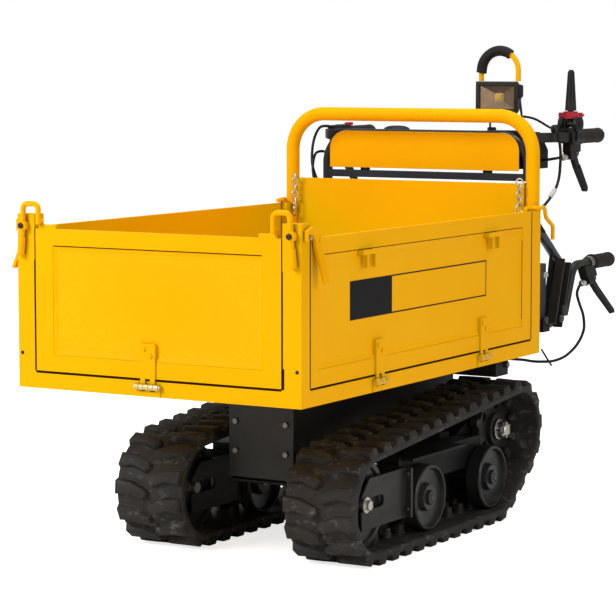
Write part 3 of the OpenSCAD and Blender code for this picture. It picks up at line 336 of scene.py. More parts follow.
def smoothTube(name, points, diameter):  # a cord through the points
    curve, line = startCurve(name, "BEZIER", diameter)
    curve.resolution_u = 8
    line.bezier_points.add(len(points) - 1)
    befores, afters = points[:1] + points[:-1], points[1:] + points[-1:]
    for knot, before, point, after in zip(line.bezier_points, befores, points, afters):
        lean = (after - before) / 6
        knot.handle_left_type = knot.handle_right_type = "FREE"
        knot.co, knot.handle_left, knot.handle_right = point, point - lean, point + lean
    return curveMesh(name, curve)


def turned(name, profile, centre, axis, steps=48):  # (along, radius) pairs in millimetres, spun about an axis
    spinAxis = Vector((axis == "X", axis == "Y", axis == "Z"))
    radial = Vector((1, 0, 0) if axis == "Z" else (0, 0, 1))
    obj = sweepTube(name, [along * mm * spinAxis + radius * mm * radial for along, radius in profile])
    modify(obj, "SCREW", axis=axis, steps=steps, render_steps=steps, use_merge_vertices=True, merge_threshold=weld)
    return shift(obj, centre)


def bendPath(points, radius, steps=6):  # a line of points with its corners rounded
    path = [points[0]]
    for before, corner, after in zip(points, points[1:], points[2:]):
        back, ahead = (before - corner).normalized(), (after - corner).normalized()
        half = back.angle(ahead) / 2
        centre = corner + (back + ahead).normalized() * radius / math.sin(half)
        start = corner + back * radius / math.tan(half) - centre
        end = corner + ahead * radius / math.tan(half) - centre
        path += [centre + start.slerp(end, k / steps).normalized() * radius for k in range(steps + 1)]
    return path + [points[-1]]


def finishPiece(obj, body, finish, slot, *stoodFor, angle=38):
    takeUp(obj)
    bpy.ops.object.mode_set(mode="EDIT")
    bpy.ops.mesh.select_all(action="SELECT")
    bpy.ops.mesh.remove_doubles(threshold=1e-6)
    bpy.ops.mesh.normals_make_consistent(inside=False)
    bpy.ops.object.mode_set(mode="OBJECT")
    bpy.ops.object.shade_smooth_by_angle(angle=math.radians(angle))
    obj.data.materials.clear()
    obj.data.materials.append(finish)
    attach(obj, body)
    if stoodFor:
        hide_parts(*stoodFor)


# Finishes: grains are counted per metre

# gap and inside are reaches of painted shade, and the dark colour after them is the painted shade in narrow gaps
coatLook = {"cloud": 2.6, "speck": 160, "smear": 9, "peel": 520, "peelDepth": 0.4 * mm, "rim": 1.6 * mm,
            "gap": 8 * mm, "inside": 420 * mm, "clearCoat": 0.18, "gapShadeColour": (0.004, 0.004, 0.004)}
rubberLook = {"dirt": 14, "dirtShare": 0.75, "fine": 240, "fineDepth": 0.5 * mm, "scrape": 34, "coarse": 45,
              "coarseDepth": 1.6 * mm, "rim": 3.5 * mm, "roughness": (0.58, 0.86), "shine": 0.25}
metalLook = {"cloud": 60, "strokes": 300, "strokeDepth": 0.3 * mm}
plasticLook = {"cloud": 18, "cloudShare": 0.5, "rim": 1.2 * mm, "rimShare": 0.4}
glassLook = {"clear": (0.95, 0.93, 0.88), "smear": 40, "roughness": (0.02, 0.10), "index": 1.5}


def startFinish(name):
    finish = bpy.data.materials.new(name)
    finish.use_nodes = True
    shader = finish.node_tree.nodes["Principled BSDF"]
    return finish, shader, addNode(shader, "TexCoord").outputs["Object"]


def coatFinish(name, base, deep, worn, roughness, peel, gloss, wear=0.35, shine=0.25, gapShade=coatLook["gapShadeColour"],
               insideShade=None):
    look = coatLook
    finish, shader, coords = startFinish(name)
    paint = tint(ranged(grain(coords, look["cloud"], 4), 0.35, 0.65), base, deep)
    if insideShade:  # painted shade: duller inside the bed, on faces that the bed's own walls hide
        paint = tint(crevice(shader, look["inside"], 0.95, 0.6), paint, insideShade)
    speck = ranged(grain(coords, look["speck"], 6, 0.7), 0.45, 0.75)
    rim = times(edges(shader, look["rim"], 0.55, 0.97), times(speck, wear))
    smear = grain(coords, look["smear"], 5, 0.6, (1, 1, 2.5))
    # the base colour gets painted shade: darker in narrow gaps and hollow corners
    feed(shader, {
        "Base Color": tint(crevice(shader, look["gap"]), tint(rim, paint, worn), gapShade),
        "Roughness": ranged(smear, 0.3, 0.7, *roughness),
        "Specular IOR Level": shine,
        "Coat Weight": gloss,
        "Coat Roughness": look["clearCoat"],
        "Normal": relief(grain(coords, look["peel"], 2), peel, look["peelDepth"]),
    })
    return finish


def rubberFinish(name, base, dusty, scuffed, scale):
    look = rubberLook
    finish, shader, coords = startFinish(name)
    dirt = ranged(grain(coords, look["dirt"], 6, 0.65), 0.42, 0.68)
    fine = ranged(grain(coords, look["fine"], 5, 0.7), 0.4, 0.7)
    body = tint(times(dirt, look["dirtShare"]), base, dusty)
    rubbed = times(edges(shader, look["rim"], 0.6, 0.98), fine)
    streaks = grain(coords, look["scrape"], 5, 0.6, (1, 1, 1.8))
    scrape = times(ranged(streaks, 0.56, 0.68), fine)
    coarse = relief(grain(coords, look["coarse"], 4, 0.6), 0.35, look["coarseDepth"])
    feed(shader, {
        "Base Color": tint(scrape, tint(rubbed, body, scuffed), scuffed),
        "Roughness": ranged(dirt, 0, 1, *look["roughness"]),
        "Specular IOR Level": look["shine"],
        "Normal": relief(grain(coords, scale), 0.3, look["fineDepth"], coarse),
    })
    return finish


def metalFinish(name, base, stained, roughness, brushed):
    finish, shader, coords = startFinish(name)
    cloud = ranged(grain(coords, metalLook["cloud"], 4, 0.6), 0.38, 0.66)
    strokes = grain(coords, metalLook["strokes"], 3, 0.6, brushed)
    feed(shader, {
        "Base Color": tint(cloud, base, stained),
        "Metallic": 1,
        "Roughness": ranged(strokes, 0.3, 0.7, *roughness),
        "Normal": relief(strokes, 0.12, metalLook["strokeDepth"]),
    })
    return finish


def plasticFinish(name, base, faded, roughness, texture, depth, gleam=0.2):
    look = plasticLook
    finish, shader, coords = startFinish(name)
    cloud = ranged(grain(coords, look["cloud"], 5, 0.6), 0.4, 0.7)
    rim = times(edges(shader, look["rim"], 0.6, 0.98), look["rimShare"])
    body = tint(times(cloud, look["cloudShare"]), base, faded)
    feed(shader, {
        "Base Color": tint(rim, body, faded),
        "Roughness": ranged(cloud, 0, 1, *roughness),
        "Specular IOR Level": gleam,
        "Normal": relief(grain(coords, texture, 4, 0.6), 0.25, depth),
    })
    return finish


def glassFinish(name):  # clear pane: mirror-like at a slant, see-through ahead
    look = glassLook
    finish, shader, coords = startFinish(name)
    nodes = finish.node_tree.nodes
    nodes.remove(shader)
    smear = ranged(grain(coords, look["smear"], 4), 0.3, 0.7, *look["roughness"])
    clear = addNode(coords, "BsdfTransparent", {"Color": look["clear"]}).outputs["BSDF"]
    shine = addNode(coords, "BsdfGlossy", {"Roughness": smear}).outputs["BSDF"]
    rim = addNode(coords, "Fresnel", {"IOR": look["index"]}).outputs["Fac"]
    pane = addNode(coords, "MixShader", {"Fac": rim, 1: clear, 2: shine})
    feed(nodes["Material Output"], {"Surface": pane.outputs["Shader"]})
    return finish


# the last colour is the painted shade in narrow gaps
yellowMix = ((0.93, 0.44, 0.0003), (0.91, 0.405, 0.0003), (0.95, 0.56, 0.04), (0.36, 0.48), 0.10, 0.0, 0.30, 0.03,
             (0.10, 0.022, 0.001))
yellowPaint = coatFinish("yellow_paint", *yellowMix)
# the bed's paint: the yellow paint with a painted shade inside the bed
bedPaintShaded = coatFinish("bed_paint_inside_shade", *yellowMix, (0.69, 0.45, 0.0003))
blackPaint = coatFinish("black_paint", (0.012, 0.012, 0.0125), (0.022, 0.020, 0.018), (0.09, 0.085, 0.08),
                        (0.38, 0.55), 0.22, 0.08)
# a darker copy of the black paint: painted shade on the chassis, track frames, gearboxes and bed catch, which sit in
# shade under the bed and between the tracks
shadedFramePaint = coatFinish("frame_paint_shaded", (0.005, 0.005, 0.005), (0.010, 0.009, 0.008), (0.06, 0.055, 0.05),
                        (0.42, 0.6), 0.22, 0.0, 0.35, 0.16)
wheelPaint = coatFinish("wheel_paint", (0.012, 0.012, 0.013), (0.022, 0.021, 0.020), (0.09, 0.088, 0.085),
                        (0.28, 0.42), 0.14, 0.1, 0.4, 0.28)
navyPaint = coatFinish("navy_paint", (0.011, 0.014, 0.026), (0.015, 0.018, 0.030), (0.09, 0.09, 0.10),
                       (0.22, 0.34), 0.10, 0.4)
greyPaint = coatFinish("grey_paint", (0.045, 0.046, 0.048), (0.060, 0.060, 0.060), (0.16, 0.16, 0.16),
                       (0.40, 0.55), 0.25, 0.1)
trackRubber = rubberFinish("track_rubber", (0.017, 0.0158, 0.0148), (0.046, 0.041, 0.037), (0.20, 0.178, 0.155), 420)
gripRubber = rubberFinish("grip_rubber", (0.016, 0.0125, 0.011), (0.032, 0.024, 0.020), (0.060, 0.048, 0.042), 700)
dullZinc = metalFinish("dull_zinc", (0.22, 0.21, 0.195), (0.15, 0.135, 0.11), (0.34, 0.52), (1, 1, 4))
zincSteel = metalFinish("zinc_steel", (0.66, 0.64, 0.60), (0.52, 0.49, 0.42), (0.24, 0.44), (1, 1, 6))
blackPlastic = plasticFinish("black_plastic", (0.009, 0.009, 0.009), (0.032, 0.031, 0.030), (0.42, 0.62), 900, 0.0003)
redPlastic = plasticFinish("red_plastic", (0.36, 0.010, 0.018), (0.48, 0.045, 0.05), (0.34, 0.50), 800, 0.0002)
lampGlass = glassFinish("lamp_glass")
print("finishes mixed")

nodeFinish = [  # finish, slot, edge rounding in millimetres, frame parts
    (bedPaintShaded, "yellow_paint", 1.2, "bed_frame rear_wall front_gate left_gate right_gate"),
    (yellowPaint, "yellow_paint", 1.2, "console_cover"),
    (yellowPaint, "yellow_paint", 0, "bed_hoop front_left_latch front_right_latch left_front_latch "
     "right_front_latch left_rear_latch right_rear_latch lamp_handle"),
    (blackPaint, "black_paint", 1.2, "front_plate tension_forks handlebars tip_handle lamp_bracket"),
    (shadedFramePaint, "black_paint", 1.2, "chassis_frame track_frames gearboxes bed_catch"),
    (wheelPaint, "wheel_paint", 0.8, "left_sprocket right_sprocket left_idler right_idler left_front_roller "
     "left_rear_roller right_front_roller right_rear_roller"),
    (navyPaint, "navy_paint", 0.8, "console_hoop"),
    (greyPaint, "grey_paint", 2.0, "controller_box drive_motors"),
    (trackRubber, "track_rubber", 0, "left_track right_track"),
    (gripRubber, "grip_rubber", 0, "fixed_grips throttle_grip lamp_grip"),
    (zincSteel, "zinc_steel", 0.4, "wheel_axles pivot_pin hinge_pins bed_bolts key_switch"),
    (dullZinc, "zinc_steel", 0.4, "bolts"),
    (zincSteel, "zinc_steel", 0, "left_chain right_chain"),
    (blackPlastic, "black_plastic", 2.0, "batteries control_box lever_perches switch_housings left_lever right_lever "
     "tip_lever lamp_head"),
    (blackPlastic, "black_plastic", 0, "drive_lever cables"),
    (redPlastic, "red_plastic", 1.5, "lock_collar stop_button"),
    (lampGlass, "lamp_glass", 0, "lamp_lens"),
]


def softenNode(node, width):  # a rounded edge on a frame part, its own mesh left as it is
    addModifier(node, "WELD", merge_threshold=weld)
    addModifier(node, "DECIMATE", decimate_type="DISSOLVE", angle_limit=math.radians(1))
    addModifier(node, "BEVEL", width=width * mm, segments=2, limit_method="ANGLE", angle_limit=math.radians(40))
    addModifier(node, "WEIGHTED_NORMAL", keep_sharp=True)


def dressFrame():
    for finish, slot, edge, names in nodeFinish:
        for name in names.split():
            node = frame["nodes"][name]
            node.data.materials.clear()
            node.data.materials.append(finish)
            if edge:
                softenNode(node, edge)


dressFrame()
print("frame dressed")


# Rubber tracks: one link modelled flat, repeated and wrapped round the wheels

trackShape = {
    "links": 36,
    "width": 180 * mm,
    "carcass": 17 * mm,
    "shoulder": 5 * mm,
    "cuts": 7,
    "wheels": (("idler", 103 * mm), ("rear_roller", 77.5 * mm), ("sprocket", 95 * mm)),
    "lug": 15 * mm,
    "lugRoot": 2 * mm,
    "lugEdge": 2.2,
    "lugTop": (0.93, 0.72, 1),
    "lugOutline": ((89, -22), (89, 18), (50, 14), (11, 28), (-2, 17), (0, 1), (45, -18)),
    "hornsFrom": ((-27, -14, -22), (12.5, -14, -22)),
    "hornSize": (14.5, 28, 24),
    "hornTip": (0.8, 0.6, 1),
    "hornEdge": 2,
}


def beltCourse(side):  # arcs and runs of the belt, measured at its outer face
    wheels = [(jointAt[f"{side}_{wheel}_roll"].yz, radius) for wheel, radius in trackShape["wheels"]]
    gaps = [wheels[(i + 1) % 3][0] - wheels[i][0] for i in range(3)]
    drops = [wheels[i][1] - wheels[(i + 1) % 3][1] for i in range(3)]
    angles = [math.atan2(gap.y, gap.x) + math.asin(drop / gap.length) for gap, drop in zip(gaps, drops)]
    course = []
    for i, (centre, radius) in enumerate(wheels):
        wrap = (angles[i] - angles[i - 1]) % (2 * math.pi)
        course.append((centre, radius, angles[i - 1], wrap * (radius + trackShape["carcass"]), True))
        course.append((centre, radius, angles[i], math.sqrt(gaps[i].length_squared - drops[i] ** 2), False))
    return course


def beltPlace(course, along, out):
    for centre, radius, angle, length, bends in course:
        if along <= length:
            break
        along -= length
    turn = angle + (along / (radius + trackShape["carcass"]) if bends else 0)
    place = centre + (radius + out) * Vector((math.sin(turn), -math.cos(turn)))
    if not bends:
        place += along * Vector((math.cos(turn), math.sin(turn)))
    return place


def makeLug(sign, along):
    base = trackShape["carcass"] - trackShape["lugRoot"]
    lug = addOutline("lug", [(x * mm, y * mm, base) for x, y in trackShape["lugOutline"]])
    pick(lug)
    pull(0, 0, trackShape["lug"] + trackShape["lugRoot"])
    bpy.ops.transform.resize(value=trackShape["lugTop"])
    roundEdges(lug, trackShape["lugEdge"], angle=25)
    return shift(toSide(lug, sign), (0, along, 0))


def makeHorn(start, along):
    low = Vector(start) * mm
    horn = addBlock("horn", low, low + Vector(trackShape["hornSize"]) * mm)
    pick(horn, "FACE", facing(2, -1))
    bpy.ops.transform.resize(value=trackShape["hornTip"])
    roundEdges(horn, trackShape["hornEdge"], angle=25)
    return shift(horn, (0, along, 0))


def makeTrack(side):
    course = beltCourse(side)
    around = sum(length for *_, length, _ in course)
    pitch = around / trackShape["links"]
    half = trackShape["width"] / 2
    link = addBlock("link", Vector((-half, 0, 0)), Vector((half, pitch, trackShape["carcass"])))
    pick(link, "FACE", lambda face: abs(face.normal.y) > 0.9)
    bpy.ops.mesh.delete(type="FACE")
    pick(link, "EDGE", alongEdge(1))
    bpy.ops.mesh.bevel(offset=trackShape["shoulder"], segments=3)
    pick(link, "EDGE", alongEdge(1))
    bpy.ops.mesh.subdivide(number_cuts=trackShape["cuts"])
    parts = [link, makeLug(1, pitch / 4), makeLug(-1, pitch * 3 / 4)]
    parts += [makeHorn(start, pitch / 2) for start in trackShape["hornsFrom"]]
    link = joinAs(f"{side}_rubber_track", parts)
    modify(link, "ARRAY", count=trackShape["links"], use_relative_offset=False, use_constant_offset=True,
           constant_offset_displace=(0, pitch, 0), use_merge_vertices=True, merge_threshold=weld)
    across = jointAt[f"{side}_idler_roll"].x
    for vertex in link.data.vertices:
        place = beltPlace(course, vertex.co.y % around, vertex.co.z)
        vertex.co = (vertex.co.x + across, place.x, max(place.y, 0))
    finishPiece(link, "chassis", trackRubber, "track_rubber", f"{side}_track", angle=45)


for side, word in bothSides:
    makeTrack(word)
print("tracks wrapped")


# Latches: bent rods at the posts and flat levers on the side gates

latchShape = {  # straight rods are start, end and radius
    "front": {"path": ((346, -8, 700), (340, -8, 764), (338, -8, 812), (298, -8, 812), (298, -8, 768)),
              "bend": 12, "wire": 12},
    "tip": ((298, -8, 774), (298, 6, 774), 6),
    "bossAt": (340, 0, 764),
    "boss": ((-15, 0), (-15, 10), (-13.5, 11.5), (-2.5, 11.5), (-1.5, 10.5), (-1.5, 5), (21, 5), (21, 0)),
    "paddle": ((346.2, -8, 698), (342, -8, 740), 8),
    "bolt": ((340, -14, 764), (340, -19, 764), 7),
    "rear": {"path": ((350, 1084, 765), (350, 1111, 765), (368, 1127, 765), (368, 1154, 765), (368, 1164, 739),
                      (368, 1204, 717), (368, 1204, 683)), "bend": 8, "wire": 10},
    "stem": ((350, 1110, 732), (350, 1110, 765), 5),
    "lever": ((8, 752), (8, 776), (30, 783), (57, 778), (70, 768), (72, 752), (69, 733), (66, 715), (65, 697),
              (64, 680), (62, 664), (48, 664), (46, 680), (45, 697), (44, 715), (43, 733), (41, 756), (31, 767),
              (14, 767), (14, 752)),
    "leverFrom": 361,
    "leverThick": 10,
    "leverPivot": (57, 752),
    "leverWasher": (-1, 1.2, 10),
    "leverBolt": (-1, 4, 7.5),
    "flare": {1: ((740, 3), (722, 5), (704, 6), (688, 6), (672, 3)),
              -1: ((740, 6), (722, 9), (704, 11), (688, 10), (672, 8))},
}


def makeRod(name, shape, side):
    path = bendPath(bedPath(onSide(side, shape["path"])), shape["bend"] * mm)
    return roundEdges(sweepTube(name, path, shape["wire"]), 2, 3, 50)


def makeLever(name, side):
    start, thick = latchShape["leverFrom"], latchShape["leverThick"]
    pivot = (start + thick, *latchShape["leverPivot"])
    lever = addOutline(name, [fromBed(start, y, z) for y, z in latchShape["lever"]])
    pick(lever)
    pull(thick * mm, 0, 0)
    for below, out in latchShape["flare"][side]:  # the handle bends away from the gate, row by row
        pick(lever, "VERT", lambda vertex: vertex.co.z < below * mm)
        bpy.ops.transform.translate(value=(out * mm, 0, 0))
    roundEdges(lever, 1.8, 3, 40)
    bolt = crossRod("pivot_bolt", latchShape["leverBolt"], pivot, 6, 1)
    washer = crossRod("pivot_washer", latchShape["leverWasher"], pivot, 32, 0.5)
    return toSide(joinAs(name, [lever, washer, bolt]), side)


def makeHook(name, side):  # handle and hook rod with a boss round its pivot
    rod = makeRod("rod", latchShape["front"], side)
    tip = bedRod("tip", *latchShape["tip"], edge=1.5, side=side)
    boss = turned("boss", latchShape["boss"], *bedPath(onSide(side, [latchShape["bossAt"]])), "Y", 32)
    paddle = bedRod("paddle", *latchShape["paddle"], edge=2.5, segments=3, side=side)
    return joinAs(name, [rod, tip, boss, paddle])


for side, word in bothSides:
    frontRod = makeHook(f"front_{word}_latch_rod", side)
    frontBolt = bedRod(f"front_{word}_latch_bolt", *latchShape["bolt"], 6, 1, side=side)
    finishPiece(frontBolt, f"front_{word}_latch_body", blackPaint, "black_paint")
    finishPiece(frontRod, f"front_{word}_latch_body", yellowPaint, "yellow_paint", f"front_{word}_latch")
    rearRod = makeRod(f"{word}_rear_latch_rod", latchShape["rear"], side)
    stem = bedRod("stem", *latchShape["stem"], side=side)
    rearRod = joinAs(f"{word}_rear_latch_rod", [rearRod, stem])
    finishPiece(rearRod, f"{word}_rear_latch_body", yellowPaint, "yellow_paint", f"{word}_rear_latch")
    lever = makeLever(f"{word}_gate_lever", side)
    finishPiece(lever, f"{word}_front_latch_body", yellowPaint, "yellow_paint", f"{word}_front_latch")
print("latches bent")


# Tie chains: oval links and a snap hook below each eye bolt

chainShape = {
    "eye": (317.8, 1117.6, 826),
    "turn": -38,
    "step": 16.2,
    "start": 0.95,  # steps from the eye to the first link
    "count": 3,
    "hookDrop": 2.48,
    "link": (25, 17, 4),  # length, width and wire
    "hook": (52, 21, 5),
    "sleeveOut": 8,
    "sleeve": ((-9, 0), (-9, 4), (-8, 4.8), (-3, 4.8), (-2.4, 4.2), (2.4, 4.2), (3, 4.8), (8, 4.8), (9, 4), (9, 0)),
}


def ovalLink(centre, turn, length, width, wire):
    clearSelection()
    bpy.ops.mesh.primitive_torus_add(major_radius=(width - wire) / 2 * mm, minor_radius=wire / 2 * mm,
                                     major_segments=28, minor_segments=10)
    link = settle("link")
    for sign in (-1, 1):
        pick(link, "VERT", lambda vertex: vertex.co.y * sign > 0.1 * mm)
        bpy.ops.transform.translate(value=(0, sign * (length - width) / 2 * mm, 0))
    link.rotation_euler = (math.radians(90), 0, math.radians(turn))
    return shift(link, centre)


def makeChain(name, side):
    x, y, z = chainShape["eye"]
    turn, step, count = chainShape["turn"], chainShape["step"], chainShape["count"]
    links = [ovalLink(fromBed(x, y, z - step * (i + chainShape["start"])), turn + 90 * (i % 2), *chainShape["link"])
             for i in range(count)]
    hookAt = fromBed(x, y, z - step * count - chainShape["hook"][0] / 2 - chainShape["hookDrop"])
    links.append(ovalLink(hookAt, turn + 90, *chainShape["hook"]))
    out = Vector((-math.sin(math.radians(turn)), math.cos(math.radians(turn)), 0)) * chainShape["sleeveOut"] * mm
    sleeve = turned("sleeve", chainShape["sleeve"], hookAt + out, "Z", 20)
    return toSide(joinAs(name, links + [sleeve]), side)


for side, word in bothSides:
    chain = makeChain(f"{word}_tie_chain", side)
    finishPiece(chain, f"{word}_chain_body", zincSteel, "zinc_steel", f"{word}_chain", angle=60)
print("chains hung")


# Hand grips: ribbed rubber with a flange and a bulged end

gripShape = {
    "length": 132,
    "lowLength": 120,
    "lowAt": (312, 1564, 600),
    "radius": 18.5,
    "flange": ((0, 0), (0, 20), (1, 21), (4, 21), (5.5, 19.5), (7, 18.5)),
    "ribs": 19,
    "ribStart": 10,
    "ribEnd": 22,
    "rib": ((0, 0), (0.55, 0), (0.7, 1), (0.9, 1)),  # share of a rib, depth
    "bulge": ((20, 0), (17, 0.8), (9, 0.8), (5, -0.6), (2, -3.5), (0.5, -8)),  # from the end, swell
}


def gripProfile(long):
    shape = gripShape
    profile = list(shape["flange"])
    step = (long - shape["ribEnd"] - shape["ribStart"]) / shape["ribs"]
    for i in range(shape["ribs"]):
        profile += [(shape["ribStart"] + (i + share) * step, shape["radius"] - depth)
                    for share, depth in shape["rib"]]
    profile += [(long - back, shape["radius"] + swell) for back, swell in shape["bulge"]]
    return profile + [(long, 0)]


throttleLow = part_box("throttle_grip")[0]
throttleAt = Vector((jointAt["throttle_twist"].x, throttleLow.y, jointAt["throttle_twist"].z))
throttle = turned("throttle_rubber", gripProfile(gripShape["length"]), throttleAt, "Y")
finishPiece(throttle, "throttle_body", gripRubber, "grip_rubber", "throttle_grip", angle=50)
upperAt = throttleAt * Vector((-1, 1, 1))
upper = turned("upper_grip", gripProfile(gripShape["length"]), upperAt, "Y")
lower = turned("lower_grip", gripProfile(gripShape["lowLength"]), fromBed(*gripShape["lowAt"]), "Y")
finishPiece(joinAs("grip_rubbers", [upper, lower]), "chassis", gripRubber, "grip_rubber", "fixed_grips", angle=50)
print("grips turned")


# Work light: cast body, faceted reflector, chip and foam sleeve

lampShape = {
    "body": ((-59, -38, -40), (59, -12, 40)),
    "taper": (0.86, 1, 0.86),
    "window": 12,
    "depth": 17,
    "spine": ((-30, -13, -26), (30, 6, 34)),
    "fin": ((-1.6, 5, -25), (1.6, 12, 33)),
    "fins": (-27, -18, -9, 0, 9, 18, 27),
    "ear": (29, 41.5),
    "hump": ((55, -35, -2), (65, -15, 33)),
    "humpTop": (1, 0.7, 0.8),
    "bowl": ((-46.6, -33, -28.6), (46.6, -22.5, 28.6)),
    "bowlNeck": (0.24, 1, 0.336),
    "chip": ((-8, -25.5, -8), (8, -22.4, 8)),
    "arch": 50,
    "archBack": -20,
    "archTube": 13,
    "foam": 26,
    "foamTurn": (180, 46, -9),
    "foamStart": (-51, 0, -5),
}
lampAt = jointAt["lamp_tilt"]


def atLamp(x, y, z):
    return lampAt + Vector((x, y, z)) * mm


def lampBlock(name, corners):
    return addBlock(name, *[atLamp(*corner) for corner in corners])


def makeLampBody():
    body = lampBlock("body", lampShape["body"])
    pick(body, "FACE", facing(1, 1))
    bpy.ops.transform.resize(value=lampShape["taper"])
    pick(body, "FACE", facing(1, -1))
    bpy.ops.mesh.inset(thickness=lampShape["window"] * mm)
    pull(0, lampShape["depth"] * mm, 0)
    parts = [roundEdges(body, 2.5, 3), roundEdges(lampBlock("spine", lampShape["spine"]), 2)]
    for out in lampShape["fins"]:
        fin = lampBlock("fin", [(x + out, y, z) for x, y, z in lampShape["fin"]])
        parts.append(roundEdges(fin, 0.8))
    for sign in (-1, 1):
        ear = addRod("ear", *[atLamp(sign * x, 0, 0) for x in lampShape["ear"]], 10)
        parts.append(roundEdges(ear, 1))
    hump = lampBlock("hump", lampShape["hump"])
    pick(hump, "FACE", facing(0, 1))
    bpy.ops.transform.resize(value=lampShape["humpTop"])
    return joinAs("lamp_casting", parts + [roundEdges(hump, 2.5, 3)])


def makeReflector():
    bowl = lampBlock("lamp_reflector", lampShape["bowl"])
    pick(bowl, "FACE", facing(1, 1))
    bpy.ops.transform.resize(value=lampShape["bowlNeck"])
    pick(bowl, "FACE", facing(1, -1))
    bpy.ops.mesh.delete(type="FACE")
    return modify(bowl, "SOLIDIFY", thickness=0.8 * mm, offset=1)


def makeChip():
    chip = lampBlock("lamp_chip", lampShape["chip"])
    pick(chip, "FACE", facing(1, -1))
    bpy.ops.mesh.inset(thickness=2 * mm)
    pull(0, -1.2 * mm, 0)
    return roundEdges(chip, 0.8)


def makeFoam():
    arch = lampShape["arch"] * mm
    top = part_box("lamp_handle")[1].z - lampShape["archTube"] / 2 * mm
    centre = Vector((lampAt.x, lampAt.y + lampShape["archBack"] * mm, top - arch))
    turns = [math.radians(a) for a in range(*lampShape["foamTurn"])]
    path = [centre + Vector(lampShape["foamStart"]) * mm]
    path += [centre + Vector((math.cos(a), 0, math.sin(a))) * arch for a in turns]
    return roundEdges(sweepTube("lamp_foam", path, lampShape["foam"]), 2.5, 3, 50)


reflectorBronze = metalFinish("reflector_bronze", (0.70, 0.54, 0.40), (0.56, 0.42, 0.33), (0.30, 0.44), (1, 1, 1))
chipYellow = plasticFinish("chip_yellow", (0.95, 0.72, 0.02), (1.0, 0.86, 0.18), (0.25, 0.4), 600, 0.0002)
foamBlack = rubberFinish("foam_black", (0.006, 0.006, 0.006), (0.012, 0.012, 0.012), (0.022, 0.022, 0.022), 900)
finishPiece(makeLampBody(), "lamp", blackPlastic, "black_plastic", "lamp_head")
finishPiece(makeReflector(), "lamp", reflectorBronze, "zinc_steel", angle=10)
finishPiece(makeChip(), "lamp", chipYellow, "lamp_glass")
finishPiece(makeFoam(), "lamp", foamBlack, "grip_rubber", "lamp_grip")
print("lamp built")


# Control cables and the lamp's lead, in the loops that the photo shows

cableShape = {
    "wire": 7.4,
    "lead": 6,
    "routes": (  # the lamp's lead is the last
        ((322, 1300, 950), (331, 1289, 956), (341, 1283, 944), (348, 1281, 922), (352, 1280, 895), (352, 1279, 862),
         (349, 1277, 828), (343, 1264, 797), (332, 1238, 768), (318, 1226, 752), (306, 1236, 738), (301.5, 1262, 721),
         (301.3, 1300, 693)),
        ((335, 1331, 880), (334, 1318, 880), (326, 1305, 878), (309, 1300, 875), (290, 1300, 873)),
        ((-335, 1331, 880), (-336, 1316, 881), (-344, 1294, 884), (-350, 1276, 876), (-349, 1262, 842),
         (-336, 1252, 802), (-318, 1248, 772), (-306, 1258, 738), (-301.3, 1280, 708)),
        ((-335, 1346.2, 944), (-345, 1334, 949), (-359, 1318, 946), (-367, 1304, 922), (-368, 1292, 888),
         (-362, 1282, 850), (-346, 1276, 815), (-328, 1278, 785), (-312, 1288, 752), (-303, 1298, 714),
         (-301.3, 1310, 687)),
        ((326.6, 1471.6, 552), (325.5, 1458, 543), (326, 1447, 526), (328, 1459, 500), (330, 1475, 475),
         (331, 1482, 449), (330, 1481, 429), (326, 1467, 406), (318, 1446, 385), (306, 1415, 367),
         (291, 1380, 359), (276, 1345, 360), (262, 1318, 363), (248, 1296, 368), (226, 1252, 374),
         (210, 1215, 378), (200, 1193.2, 380)),
        ((240.5, 1288, 982), (251, 1292, 981), (259, 1300, 979), (270, 1307, 975), (285, 1311, 967), (301, 1312, 958),
         (318, 1312, 950)),
    ),
    "ferrule": ((344.5, 1267, 804), (338, 1252, 784), 6),  # start, end and radius
    "tie": ((289, 1376, 348), (285.5, 1367, 359), (273, 1349, 391)),
    "tieWire": 5,
}


def makeCables():
    *wires, lead = [bedPath(route) for route in cableShape["routes"]]
    tubes = [smoothTube("cable", wire, cableShape["wire"]) for wire in wires]
    return joinAs("control_cables", tubes + [smoothTube("cable", lead, cableShape["lead"])])


cableVinyl = plasticFinish("cable_vinyl", (0.008, 0.008, 0.009), (0.020, 0.020, 0.021), (0.28, 0.42), 1200, 0.0001)
finishPiece(makeCables(), "chassis", cableVinyl, "black_plastic", "cables", angle=60)
ferruleFinish = plasticFinish("ferrule_nylon", (0.52, 0.52, 0.50), (0.66, 0.66, 0.64), (0.35, 0.5), 700, 0.0002)
ferrule = bedRod("cable_ferrule", *cableShape["ferrule"], 20, 1.2)
finishPiece(ferrule, "chassis", ferruleFinish, "grey_paint")
tie = sweepTube("cable_tie", bedPath(cableShape["tie"]), cableShape["tieWire"])
finishPiece(tie, "chassis", cableVinyl, "black_plastic")
print("cables run")


# Lever fittings: knurled adjusters at the cable ends, a clamp on the lower tube and sleeves on the levers

fittingShape = {
    "adjusters": ((335, 1330, 880), (-335, 1330, 880), (326.6, 1472, 552.2)),
    "stud": ((-5, 0), (-5, 4), (-4, 5), (0, 5.2), (0.5, 7.6)),
    "knurl": ((1, 8.4), (2.3, 8.4), (2.7, 7.8)),
    "knurls": 5,
    "knurlStep": 2.2,
    "neck": ((13, 7.6), (13.5, 6.6), (20, 6.6), (20, 0)),
    "clampAt": (312, 1540, 600),
    "clamp": ((0, 10.9), (0, 15), (1, 16), (6, 16), (7, 15.2), (11, 15.2), (12, 16), (17, 16), (18, 15), (18, 10.9),
              (0, 10.9)),
    "sleeve": ((335, 1418, 854.5), (335, 1441.4, 826.7), (335, 1466.5, 797)),
    "sleeveWide": 19,
}


def makeAdjuster(centre):
    shape = fittingShape
    knurls = [(along + shape["knurlStep"] * i, radius)
              for i in range(shape["knurls"]) for along, radius in shape["knurl"]]
    return turned("adjuster", [*shape["stud"], *knurls, *shape["neck"]], centre, "Y", 24)


